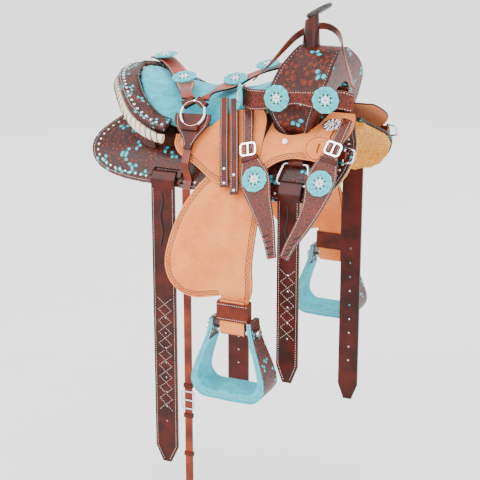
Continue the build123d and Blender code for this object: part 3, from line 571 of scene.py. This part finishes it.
def soft_copy(node, name, voxel, smooth_rounds):
    """A soft piece in the place of a CAD solid: its copy, remeshed fine and smoothed."""
    made = nodes[node].copy()
    made.data = nodes[node].data.copy()
    made.name = name
    made.parent = None
    made.matrix_world = Matrix.Identity(4)
    bpy.context.collection.objects.link(made)
    bpy.ops.object.select_all(action="DESELECT")
    bpy.context.view_layer.objects.active = made
    made.select_set(True)
    remesh = made.modifiers.new("remesh", "REMESH")
    remesh.mode = "VOXEL"
    remesh.voxel_size = voxel
    bpy.ops.object.modifier_apply(modifier="remesh")
    relax = made.modifiers.new("relax", "SMOOTH")
    relax.iterations = smooth_rounds
    bpy.ops.object.modifier_apply(modifier="relax")
    bpy.ops.object.shade_smooth()
    made.data.materials.clear()
    return made


fleece_finish = golden_fleece()
curl_texture = bpy.data.textures.new("wool_curls", "CLOUDS")
curl_texture.noise_scale = 0.009
curl_texture.noise_depth = 2
for side_name, side in both_sides:
    wool = soft_copy("fleece_" + side_name, "fleece_wool_" + side_name, 3.4 * mm, 2)
    curl = wool.modifiers.new("curl", "DISPLACE")
    curl.texture = curl_texture
    curl.strength = 4.5 * mm
    curl.mid_level = 0.6
    bpy.ops.object.modifier_apply(modifier="curl")
    wool.data.materials.append(fleece_finish)
    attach(wool, "saddle")
    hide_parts("fleece_" + side_name)

# Seat.
# A foam pad under turquoise suede, dished up to the cantle and the swell.
# It is a thin padded cushion, puffed a little by cloth pressure and held at its underside.
seat_pad = soft_copy("seat", "seat_pad", 4.5 * mm, 6)
seat_pad.data.materials.append(suede("seat_suede"))
held = seat_pad.vertex_groups.new(name="held")
for vertex in seat_pad.data.vertices:
    if vertex.normal.z < 0.35:
        held.add([vertex.index], 1.0, "REPLACE")
cloth = seat_pad.modifiers.new("pad", "CLOTH")
cloth.settings.use_pressure = True
cloth.settings.uniform_pressure_force = 3.0
cloth.settings.effector_weights.gravity = 0.0
cloth.settings.vertex_group_mass = "held"
cloth.settings.pin_stiffness = 1.0
cloth.settings.tension_stiffness = 40
cloth.settings.quality = 4
for step in range(1, 13):
    bpy.context.scene.frame_set(step)
bpy.context.view_layer.objects.active = seat_pad
seat_pad.select_set(True)
bpy.ops.object.modifier_apply(modifier="pad")
bpy.context.scene.frame_set(1)
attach(seat_pad, "saddle")
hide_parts("seat")

# Cantle.
# A wooden board in tooled leather, a wide tooled band along its rim, and a laced rawhide roll.
# The band carries silver spots and white thread; the roll is bound by a spiral of dark lace.
rim_outer = [(-251, 0, 92), (-247, -42, 88), (-232, -80, 82), (-211, -110, 73)]
rim_outer += [(-189, -136, 57), (-162, -156, 35), (-116, -167, 11), (-84, -168, 4)]
rim_inner = [(-214, 0, 99), (-205, -38, 92), (-193, -64, 82), (-171, -94, 65)]
rim_inner += [(-150, -114, 47), (-125, -129, 32), (-102, -139, 22), (-80, -140, 17)]


def whole_rim(points):
    """A rim given on the right, completed round the left, in metres."""
    return [Vector((x, -y, z)) * mm for x, y, z in reversed(points) if y] + [Vector(p) * mm for p in points]


def between_rims(share):
    """A smooth line round the band, from the outer rim at share 0 to the inner at 1."""
    pairs = zip(whole_rim(rim_outer), whole_rim(rim_inner))
    return smooth_path([a.lerp(b, share) for a, b in pairs])


down = Vector((0, 0, -1))
above_band = Vector((0, 0, 0.2))
dress(tooled_leather("cantle_tooling", x_axis, y_axis, 44.0, 0.5), "cantle_roll")
dress(tooled_leather("cantle_back_tooling", y_axis, z_axis, 34.0, 0.3), "cantle_board")
band_thread = [p + above_band for p in between_rims(0.1)]
stitches("cantle_thread", "cantle_roll", band_thread, down, "saddle")
band_spots = even_steps([p + above_band for p in between_rims(0.26)], 13 * mm)
spot_places = laid_frames("cantle_roll", band_spots, down, spot_rise)
copies("cantle_spots", silver_model, spot_places, "saddle")
for share in (0.17, 0.36):
    bead_name = f"cantle_bead_{int(share * 100)}"
    bead_line = [p + above_band for p in between_rims(share)]
    cord_on(bead_name, "cantle_roll", bead_line, down, "saddle", "tooled_leather", dark_cord, 0.6 * mm)
piping_line = [p + above_band for p in between_rims(0.94)]
piping = (black_lace, 2.0 * mm, 0.5 * mm)
cord_on("cantle_piping", "cantle_roll", piping_line, down, "saddle", "dark_wrap", *piping)


def rawhide():
    """Cream rawhide, slightly glossy, with faint fibres and yellowed patches."""
    material, tree, skin, place = new_finish("rawhide_roll")
    cloud = noise_of(tree, place, 35.0, 5.0)
    bump = bump_of(tree, 0.35, 0.0008, noise_of(tree, place, 260.0, 4.0, Distortion=2.0))
    tint = blend_of(tree, step_of(tree, cloud, 0.35, 0.7), colour("#e9dcc3"), colour("#cdb48d"))
    fill(tree, skin, {"Base Color": tint, "Roughness": 0.42, "Coat Weight": 0.2, "Normal": bump})
    return material


dress(rawhide(), "cantle_binding")
roll_drop = 17.0
roll_line = smooth_path([p - z_axis * roll_drop * mm - x_axis * mm for p in whole_rim(rim_outer)], steps=60)
lace_pitch = 13.0 * mm
lace = []
travelled = 0.0
for before, here in zip(roll_line, roll_line[1:]):
    travelled += (here - before).length
    along = (here - before).normalized()
    sideways = along.cross(z_axis).normalized()
    angle = 2 * pi * travelled / lace_pitch
    lace.append(here + z_axis * cos(angle) * 9.9 * mm + sideways * sin(angle) * 7.4 * mm)
tube("cantle_lace", lace, 0.9 * mm, "saddle", dark_cord, resolution=2)

# Swell, fork and horn.
# The swell is a wooden fork under tooled leather; its edges are bound with cord and thread.
# The horn's neck is glossy leather and its cap is wrapped in dark hide.
dress(tooled_leather("swell_tooling", x_axis, z_axis, 30.0, 0.35, "#862b0a", "#360c03"), "swell_cover")
dress(strap_leather("fork_leather", "#5b2b1a", "#33150c"), "fork", "tree_bar_right", "tree_bar_left")
dress(strap_leather("horn_neck_leather", "#4f1a0c", "#260b05", 0.22, 0.6, None, 700), "horn_neck")


def wrapped_hide():
    """Charcoal hide wound in flat turns round the horn's cap."""
    material, tree, skin, place = new_finish("horn_cap_wrap")
    waves = {"Vector": place, "Scale": 70.0, "Distortion": 1.2, "Detail": 2.0}
    bands = put(tree, "TexWave", waves, bands_direction="Y").outputs["Fac"]
    cloud = noise_of(tree, place, 120.0, 5.0)
    tint = blend_of(tree, step_of(tree, cloud, 0.35, 0.7), colour("#2a2524"), colour("#4a4341"))
    bump = bump_of(tree, 0.35, 0.001, sum_of(tree, "MULTIPLY_ADD", cloud, 0.3, bands))
    fill(tree, skin, {"Base Color": tint, "Roughness": 0.55, "Normal": bump})
    return material


dress(wrapped_hide(), "horn_cap")
swell_front = [(219, 162), (221, 142), (222, 105), (208, 60), (196, 22), (182, -4)]
swell_back = [(130, 160), (119, 130), (112, 92), (117, 55), (132, 22), (146, -2)]
for edge_name, edge, step in (("front", swell_front, -1), ("back", swell_back, 1)):
    for side_name, side in both_sides:
        line = smooth_path([(x + step * 3.2, side * 400, z) for x, z in edge])
        starts = [p * mm for p in line]
        inward = Vector((0, -side, 0))
        tag = f"swell_{edge_name}_{side_name}"
        stitch_line = [p + x_axis * step * 3 * mm for p in starts]
        stitches(tag + "_thread", "swell_cover", stitch_line, inward, "saddle")
        cord = (dark_cord, 1.3 * mm, 0.2 * mm)
        cord_on(tag + "_cord", "swell_cover", starts, inward, "saddle", "tooled_leather", *cord)

# Jockeys, fenders and stirrup leathers.
# Natural rough-out leather with dark burnished edges and three border lines, the middle one winding.
# The fenders hang over the stirrup leathers and swing with them.
seat_jockey_edge = [(-70, 26), (-70, 8), (-60, -8), (-23, -28), (26, -57), (80, -66), (110, -62)]
front_jockey_edge = [(130, -24), (150, -8), (188, 2), (224, 2), (256, 22), (273, 62), (262, 100)]
fender_edge = [(70, -20), (30, -56), (6, -80), (-17, -112), (-33, -148), (-41, -188), (-42, -225)]
fender_edge += [(-35, -260), (-10, -285), (22, -292), (52, -287), (74, -283)]
fender_front = [(136, -284), (139, -268), (138, -223), (132, -150), (131, -86), (124, -24)]
keeper_middle = (224, 26)
rope_gap = 8.0
far_out = 500.0
border = (dark_cord, 0.55 * mm, 0.0)


def rope_line(line, gap):
    """A border line moved in from an edge; the middle one of the three winds like a rope."""
    fine = even_steps(line, 1.2)
    if gap != rope_gap:
        return inset_line(fine, gap)
    waves = []
    for i, (near, far) in enumerate(zip(inset_line(fine, gap - 1.6), inset_line(fine, gap + 1.6))):
        waves.append(near.lerp(far, 0.5 + 0.5 * sin(i * 0.9)))
    return waves


def level_starts(line, y):
    """Start points at one y for a line of (x, z), all in millimetres."""
    return [Vector((x, y, z)) * mm for x, z in line]


for side_name, side in both_sides:
    roughout = roughout_leather("roughout_" + side_name, side_out(side))
    fender_finish = roughout_leather("fender_roughout_" + side_name, Vector((0, side * 0.97, 0.24)))
    dress(roughout, "seat_jockey_" + side_name, "front_jockey_" + side_name, "latigo_keeper_" + side_name)
    dress(fender_finish, "fender_" + side_name, "stirrup_leather_" + side_name)
    inward = -side_out(side)
    fender = "fender_" + side_name
    for gap in (4.0, 8.0, 11.5):
        for piece, edge in (("seat_jockey", seat_jockey_edge), ("front_jockey", front_jockey_edge)):
            starts = over_side(rope_line(smooth_path(edge), gap), side)
            border_name = f"{piece}_border_{int(gap)}_{side_name}"
            cord_on(border_name, f"{piece}_{side_name}", starts, inward, "saddle", "roughout", *border)
        for part, edge in (("back", fender_edge), ("front", fender_front)):
            starts = level_starts(rope_line(smooth_path(edge), gap), side * far_out)
            border_name = f"fender_border_{part}_{int(gap)}_{side_name}"
            cord_on(border_name, fender, starts, Vector((0, -side, 0)), fender, "roughout", *border)
    angles = [a * pi / 24 for a in range(-40, 17)]
    circle = [Vector((keeper_middle[0] + 23 * cos(a), keeper_middle[1] + 23 * sin(a))) for a in angles]
    starts = over_side(circle, side)
    keeper = "latigo_keeper_" + side_name
    cord_on("keeper_border_" + side_name, keeper, starts, inward, "saddle", "roughout", *border)

# Stirrups.
# Bell-shaped wooden frames in tooled leather, lined with turquoise suede, on chrome bolts.
# Each neck is wrapped by a hobble strap of chestnut leather.
stirrup_middle = 105.0
bolt_y = 252.0
half_rim = [(44, -322), (50, -356), (73, -425), (74, -446), (60, -464), (40, -470), (0, -471)]
rim = [(stirrup_middle + x, z) for x, z in half_rim] + [(stirrup_middle - x, z) for x, z in half_rim[-2::-1]]
for side_name, side in both_sides:
    frame_name = "stirrup_frame_" + side_name
    tooling = tooled_leather("stirrup_tooling_" + side_name, y_axis, z_axis, 48.0, 0.5, suede_facing=y_axis)
    dress(tooling, frame_name)
    dress(suede("stirrup_suede_" + side_name), "stirrup_lining_" + side_name)
    dress(strap_leather("hobble_leather_" + side_name, "#6a2008", "#3c0f03"), "hobble_strap_" + side_name)
    dress(chrome, "stirrup_bolt_" + side_name)
    for rim_gap in (3.0, 8.0):
        line = inset_line(smooth_path(rim), -rim_gap)
        for face_name, way in (("outer", 1), ("inner", -1)):
            starts = level_starts(line, side * (bolt_y + way * 100))
            thread_name = f"stirrup_thread_{int(rim_gap)}_{face_name}_{side_name}"
            inward = Vector((0, -side * way, 0))
            stitches(thread_name, frame_name, starts, inward, "stirrup_" + side_name)
    for height in (-292.0, -320.0):
        ends = [(stirrup_middle - 30, height), (stirrup_middle + 30, height)]
        starts = level_starts(ends, side * far_out)
        thread_name = f"hobble_thread_{int(-height)}_{side_name}"
        hobble, fender = "hobble_strap_" + side_name, "fender_" + side_name
        stitches(thread_name, hobble, starts, Vector((0, -side, 0)), fender)

# Rigging and billets.
# Leather rigging plates and wire dees carry glossy chestnut billets with punched holes.
# The billets have white edge thread, a band of diamond stitching and a black lace at the top.
for side_name, side in both_sides:
    plate_finish = tooled_leather(
        "rigging_tooling_" + side_name, x_axis, side_up(side), 60.0, 0.0, facing=side_out(side)
    )
    dress(plate_finish, "rear_rigging_plate_" + side_name)
    dress(chrome, "front_rigging_dee_" + side_name, "breast_dee_" + side_name)
    billet_finish = strap_leather(
        "billet_leather_" + side_name, "#4e1003", "#2c0701", 0.36, 0.3, Vector((0, side, 0)), 1100, "#2a0e06"
    )
    dress(billet_finish, "rear_billet_" + side_name, "latigo" if side > 0 else "off_billet")
dress(strap_leather("clip_leather", "#6a2008", "#3c0f03"), "breast_dee_clips", "rigging_tabs")
# Each billet is (node, side, middle x, half width, top z, tip z, diamonds from, diamonds to).
billets = [
    ("rear_billet_right", -1, -84, 25, -112, -691, -335, -575),
    ("rear_billet_left", 1, -84, 25, -112, -691, -335, -575),
    ("off_billet", -1, 180, 22, -108, -468, -240, -378),
    ("latigo", 1, 180, 22, -108, -640, -300, -540),
]
for node, side, x, half, top, tip, high, low in billets:
    inward = Vector((0, -side, 0))
    lines = {}
    for edge_name, way in (("back", -1), ("front", 1)):
        reach = half - 4
        lines[edge_name] = [(x + way * reach, top), (x + way * reach, tip + 36), (x + way * 6, tip + 5)]
    rows = max(2, round((high - low) / 44))
    pitch = (high - low) / rows
    for edge_name, way in (("zig", -1), ("zag", 1)):
        turns = [(14 if i % 2 else -14, high - i * pitch / 2) for i in range(2 * rows + 1)]
        lines[edge_name] = [(x + way * sway, height) for sway, height in turns]
    for line_name, line in lines.items():
        starts = level_starts(line, side * far_out)
        stitches(f"{node}_{line_name}_thread", node, starts, inward, node)
    lace_turns = [(x - 3 + 2.5 * sin(i * 0.9), top - 6 - i * 9) for i in range(13)]
    lace_line = level_starts(lace_turns, side * far_out)
    lace = (black_lace, 1.9 * mm, 0.6 * mm)
    cord_on(node + "_lace", node, smooth_path(lace_line), inward, node, "dark_wrap", *lace)

# Conchos and rosettes.
# Turquoise petals, dark and silver beads and a white crystal flower with a pink stone.
# They are screwed through the straps, and the small ones through the jockeys and skirts.


def concho_model(petal_finish, count, radius):
    """A scalloped concho of domed petals round a ring of beads and a crystal flower, flat on the origin."""
    pieces = []
    bpy.ops.mesh.primitive_circle_add(vertices=count * 8, radius=radius * mm, fill_type="NGON")
    plate = bpy.context.object
    for vertex in plate.data.vertices:
        angle = atan2(vertex.co.y, vertex.co.x)
        vertex.co *= 0.94 + 0.05 * abs(cos(angle * count / 2))
    bpy.ops.object.mode_set(mode="EDIT")
    bpy.ops.mesh.select_all(action="SELECT")
    bpy.ops.mesh.extrude_region_move(TRANSFORM_OT_translate={"value": (0, 0, 2.2 * mm)})
    bpy.ops.mesh.inset(thickness=0.8 * mm, depth=0.5 * mm)
    bpy.ops.object.mode_set(mode="OBJECT")
    plate.data.materials.append(petal_finish)
    pieces.append(plate)

    def bead(where, size, material, turn=0.0, segments=10):
        ball = small_ball("bead", size, material, segments, 6)
        ball.matrix_world = Matrix.Translation(where) @ Matrix.Rotation(turn, 4, "Z")
        pieces.append(ball)

    scale = radius / 25 * mm
    for i in range(count):
        angle = 2 * pi * i / count
        way = Vector((cos(angle), sin(angle), 0))
        petal_size = (6.2 * scale, 5.6 * scale, 1.9 * mm)
        bead(way * 17.2 * scale + z_axis * 2.4 * mm, petal_size, petal_finish, angle, 14)
        tip_size = (1.1 * scale, 1.1 * scale, 1.2 * mm)
        bead(way * 22.2 * scale + z_axis * 2.6 * mm, tip_size, silver_spot, angle)
    for i in range(16):
        angle = 2 * pi * i / 16
        way = Vector((cos(angle), sin(angle), 0))
        finish = black_lace if i % 2 else silver_spot
        bead(way * 10.4 * scale + z_axis * 3.0 * mm, (1.7 * scale, 1.7 * scale, 1.5 * mm), finish)
    for i in range(6):
        angle = 2 * pi * (i + 0.5) / 6
        way = Vector((cos(angle), sin(angle), 0))
        bead(way * 5.2 * scale + z_axis * 3.2 * mm, (3.0 * scale, 2.3 * scale, 1.7 * mm), crystal, angle)
    bead(z_axis * 3.6 * mm, (2.4 * scale, 2.4 * scale, 1.4 * mm), pink_stone)
    bpy.ops.object.select_all(action="DESELECT")
    for piece in pieces:
        piece.select_set(True)
    bpy.context.view_layer.objects.active = plate
    bpy.ops.object.join()
    bpy.ops.object.select_all(action="DESELECT")
    models.append(plate)
    return plate


turquoise_concho = concho_model(enamel, 10, 25)
small_concho = concho_model(silver_spot, 10, 18)
cream_rosette = concho_model(cream_petal, 8, 15)


def facing_matrix(centre, normal):
    """A place at the centre, turned so that z points along the normal."""
    turn = Vector(normal).to_track_quat("Z", "Y").to_matrix().to_4x4()
    return Matrix.Translation(Vector(centre) * mm) @ turn


headstall_places = [
    facing_matrix((150, -163, 84), (0, -1, 0.1)),
    facing_matrix((243, -157, 87), (0.2, -1, 0.1)),
    facing_matrix((67.5, -146, 78), (-0.95, -0.55, 0.1)),
]
cheek_out = 51.3
for x, v in ((115, -48), (244, -42)):
    centre = side_foot / mm + side_up(-1) * v + side_out(-1) * (cheek_out + 0.4) + x_axis * x
    headstall_places.append(facing_matrix(centre, side_out(-1)))
headstall_trim = copies("headstall_concho_set", turquoise_concho, headstall_places, "headstall")
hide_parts("headstall_conchos")
collar_places = [
    facing_matrix((-203, 70, 106.5), (-0.1, -0.1, 1)),
    facing_matrix((-115, -18, 80.5), (0, -0.3, 0.95)),
    facing_matrix((-3, -14, 84.5), (0, -0.3, 0.95)),
    facing_matrix((46, 32, 109.5), (-0.1, -0.2, 0.97)),
]
collar_trim = copies("collar_concho_set", turquoise_concho, collar_places, "saddle")
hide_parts("collar_conchos")
small_places, rosette_places = [], []
for side_name, side in both_sides:
    for part, x, v, places in (
        ("latigo_keeper_", 232, 78, small_places),
        ("skirt_", -186, 47, rosette_places),
    ):
        point, normal = land(part + side_name, above_side(x, v, side), -side_out(side))
        places.append(facing_matrix(point / mm + normal * 0.3, normal))
small_set = copies("keeper_conchos", small_concho, small_places, "saddle")
copies("rear_rosettes", cream_rosette, rosette_places, "saddle")
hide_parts("saddle_rosettes")
dress(crystal, "jockey_screws")

# Headstall.
# Tooled cheeks and brow band with white thread along both edges, and chrome buckles.
# A plain thin crown strap loops behind the horn.
front_cheek = [(72, 88, 10), (80, 50, 10), (90, 8, 11), (101, -20, 20), (115, -48, 29)]
front_cheek += [(134, -88, 22), (155, -128, 16), (169, -162, 11), (179, -190, 9)]
rear_cheek = [(272, 84, 10), (265, 55, 10), (256, 22, 12), (248, -12, 24), (244, -42, 28)]
rear_cheek += [(238, -84, 20), (226, -124, 15), (211, -160, 11), (203, -188, 9)]
cheek_finish = tooled_leather(
    "cheek_tooling", x_axis, side_up(-1), 62.0, 0.0, "#8c2f0a", "#521403", facing=side_out(-1)
)
dress(cheek_finish, "cheek_front", "cheek_rear")
band_finish = tooled_leather("browband_tooling", x_axis, z_axis, 62.0, 0.1, "#8c2f0a", "#521403")
dress(band_finish, "browband")
dress(chrome, "headstall_buckles", "tie_down_buckle", "collar_ring")


def strap_edge(stations, way, inset):
    """One edge of a flat strap given by (x, v, half width), moved in by the inset."""
    middle = smooth_path(stations)
    edge = []
    for i, here in enumerate(middle):
        along = middle[min(i + 1, len(middle) - 1)] - middle[max(i - 1, 0)]
        along = Vector((along.x, along.y)).normalized()
        sideways = Vector((-along.y, along.x)) * way
        edge.append(Vector((here.x, here.y)) + sideways * (here.z - inset))
    return edge


def edge_thread(node, stations, body, tag, inset=2.6):
    """White thread along both edges of a flat strap on the right side."""
    for edge_name, way in (("a", 1), ("b", -1)):
        starts = over_side(strap_edge(stations, way, inset), -1)
        stitches(f"{tag}_thread_{edge_name}", node, starts, -side_out(-1), body)


edge_thread("cheek_front", front_cheek, "headstall", "cheek_front")
edge_thread("cheek_rear", rear_cheek, "headstall", "cheek_rear")
band_top = [(66, 95), (80, 95), (150, 98), (215, 101), (263, 104), (286, 98)]
band_bottom = [(66, 58), (85, 56), (116, 58), (156, 67), (186, 74), (221, 69), (254, 70), (286, 64)]
for edge_name, edge, drop in (("top", band_top, -3), ("bottom", band_bottom, 3)):
    starts = level_starts([(x, z + drop) for x, z in smooth_path(edge)], -far_out)
    stitches("browband_thread_" + edge_name, "browband", starts, y_axis, "headstall")


def thicken(piece, thickness, offset, segments):
    """Gives a flat piece its thickness and rounds its edges."""
    wall = piece.modifiers.new("wall", "SOLIDIFY")
    wall.thickness = thickness
    wall.offset = offset
    rounded = piece.modifiers.new("rounded", "BEVEL")
    rounded.width = 0.6 * mm
    rounded.segments = segments
    bpy.ops.object.modifier_apply(modifier="wall")
    bpy.ops.object.modifier_apply(modifier="rounded")
    bpy.ops.object.shade_smooth_by_angle(angle=radians(40))


crown_route = [(78, -108, 103), (100, -76, 132), (116, -36, 162), (123, 2, 177), (142, 33, 189)]
crown_route += [(170, 37, 191), (204, 10, 180), (232, -38, 152), (262, -84, 120), (278, -110, 104)]
crown_line = even_steps(smooth_path([Vector(p) * mm for p in crown_route]), 5 * mm)
crown_half_width = 6.4 * mm
bpy.ops.mesh.primitive_grid_add(x_subdivisions=len(crown_line) - 1, y_subdivisions=4, size=1)
crown = bpy.context.object
crown.name = "crown_strap_leather"
columns = len(crown_line)
for index, vertex in enumerate(crown.data.vertices):
    row, column = divmod(index, columns)
    here = crown_line[column]
    along = crown_line[min(column + 1, columns - 1)] - crown_line[max(column - 1, 0)]
    centre_way = Vector((here.x - 0.165, here.y + 0.04, 0)).normalized()
    across = along.cross(centre_way).normalized()
    vertex.co = here + across * crown_half_width * (row - 2) / 2
thicken(crown, 2.6 * mm, 0, 2)
crown.data.materials.append(strap_leather("crown_leather", "#7d3a26", "#4d1f14", 0.3, 0.4))
bpy.ops.object.select_all(action="DESELECT")
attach(crown, "headstall")
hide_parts("crown_strap")

# Breast collar and tie-down.
# Chestnut straps with white edge thread run from a chrome ring over the seat.
# The drop is a triangular leather piece; the tie-down strap hangs from it.
over_seat = Vector((0, -0.2, 0.98))
collar_leather = strap_leather("collar_leather", "#9c3510", "#681b06", 0.4, 0.3, over_seat, 1000)
side_strap = strap_leather("side_strap_leather", "#601a05", "#3a0d02", 0.45, 0.2, side_out(-1), 1000)
dress(collar_leather, "collar_arm_cantle", "collar_arm_swell")
dress(side_strap, "collar_tugs", "collar_drop")
tie_down_leather = strap_leather("tie_down_leather", "#8a3315", "#5a1c0b", 0.32, 0.4, -y_axis)
dress(tie_down_leather, "tie_down_strap")
cantle_route = [(-80, -80, 69), (-115, -18, 73), (-160, 34, 87), (-203, 70, 99), (-236, 95, 97)]
swell_route = [(-12, -62, 72), (-3, -14, 77), (18, 14, 88), (46, 32, 100), (88, 57, 109)]
for node, route, halves in (
    ("collar_arm_cantle", cantle_route, (14, 19, 17, 19, 14)),
    ("collar_arm_swell", swell_route, (14, 19, 16, 19, 14)),
):
    for edge_name, way in (("a", 1), ("b", -1)):
        edge = []
        for i, (x, y, z) in enumerate(route):
            along = Vector(route[min(i + 1, len(route) - 1)]) - Vector(route[max(i - 1, 0)])
            across = Vector((along.y, -along.x, 0)).normalized() * way * (halves[i] - 2.8)
            edge.append((Vector((x, y, z + 80)) + across) * mm)
        stitches(f"{node}_thread_{edge_name}", node, smooth_path(edge), down, "saddle")
drop_stations = [(-37, 63, 34), (-36, 42, 31), (-35, 20, 16), (-35, 4, 9)]
edge_thread("collar_drop", drop_stations, "saddle", "collar_drop")
for i, (top_x, low_x, low_v) in enumerate(((19, 56, -68), (39, 79, -80))):
    stations = [(top_x, 102, 8), ((top_x + low_x) / 2, 15, 8), (low_x, low_v + 3, 8)]
    edge_thread("collar_tugs", stations, "saddle", f"tug_{i}", 2.2)

# Keepers, screws and ring loops.
# Small leather loops hold the strap ends, and chrome screws close the folded tugs.
# The collar's three straps fold round its ring.


def leather_band(name, place, size, finish, body):
    """A strap keeper: a flat leather loop, open along the strap (x), with rounded edges."""
    bpy.ops.mesh.primitive_cube_add(size=1)
    band = bpy.context.object
    band.name = name
    band.data.transform(Matrix.Diagonal((*size, 1.0)))
    bpy.ops.object.mode_set(mode="EDIT")
    bpy.ops.mesh.select_mode(type="FACE")
    bpy.ops.mesh.select_all(action="DESELECT")
    bpy.ops.object.mode_set(mode="OBJECT")
    for face in band.data.polygons:
        face.select = abs(face.normal.x) > 0.9
    bpy.ops.object.mode_set(mode="EDIT")
    bpy.ops.mesh.delete(type="ONLY_FACE")
    bpy.ops.object.mode_set(mode="OBJECT")
    thicken(band, 1.4 * mm, 1, 3)
    band.data.transform(place)
    band.data.materials.append(finish)
    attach(band, body)
    bpy.ops.object.select_all(action="DESELECT")
    return band


def strap_place(centre, along, normal):
    """A place in millimetres with x along a strap and z out of it."""
    along = Vector(along).normalized()
    normal = Vector(normal).normalized()
    turn = Matrix((along, normal.cross(along), normal)).transposed().to_4x4()
    return Matrix.Translation(Vector(centre) * mm) @ turn


right_out = side_out(-1)
right_up = side_up(-1)
for i, height in enumerate((-515, -580, -665)):
    place = strap_place((-35, -170.4, height), (0, 0, 1), (0, -1, 0))
    leather_band(f"tie_down_keeper_{i}", place, (9 * mm, 18 * mm, 5.2 * mm), side_strap, "saddle")
for i, (x, v, lean) in enumerate(((96, -9, 0.45), (252, 2, -0.2))):
    centre = side_foot / mm + right_up * v + right_out * 49.6 + x_axis * x
    along = x_axis * lean - right_up
    place = strap_place(centre, along, right_out)
    leather_band(f"cheek_keeper_{i}", place, (8 * mm, 31 * mm, 5.6 * mm), side_strap, "headstall")
for node, ends in (
    ("cheek_front", ((160, -150), (176, -182))),
    ("cheek_rear", ((220, -148), (206, -180))),
):
    (x0, v0), (x1, v1) = ends
    for i in range(4):
        x = x0 + (x1 - x0) * i / 3
        v = v0 + (v1 - v0) * i / 3
        starts = [above_side(x - 6 + 1.2 * k, v - 3 + 0.6 * k, -1) for k in range(11)]
        tie = (black_lace, 1.1 * mm, 0.4 * mm)
        cord_on(f"{node}_tie_{i}", node, starts, -right_out, "headstall", "dark_wrap", *tie)
screw_places = []
for top_x, low_x, low_v in ((19, 56, -68), (39, 79, -80)):
    for share in (0.04, 0.2):
        x = low_x + (top_x - low_x) * share
        v = low_v + (104 - low_v) * share
        hit = land("collar_tugs", above_side(x, v, -1), -right_out)
        if hit:
            screw_places.append(facing_matrix(hit[0] / mm, hit[1]))
copies("tug_screws", silver_model, screw_places, "saddle")
ring_offset = 56.8
ring_centre = side_foot / mm + right_up * 65 + right_out * ring_offset + x_axis * -36
for i, (angle, width) in enumerate(((125, 24), (60, 24), (270, 34))):
    way = x_axis * cos(radians(angle)) + right_up * sin(radians(angle))
    place = strap_place(ring_centre + way * 26, way, right_out)
    size = (width * mm, 13 * mm, 8 * mm)
    loop = leather_band(f"ring_loop_{i}", Matrix.Identity(4), size, side_strap, "saddle")
    loop.data.transform(Matrix.Rotation(pi / 2, 4, "Z"))
    loop.data.transform(place)

for model in models:
    bpy.data.objects.remove(model)
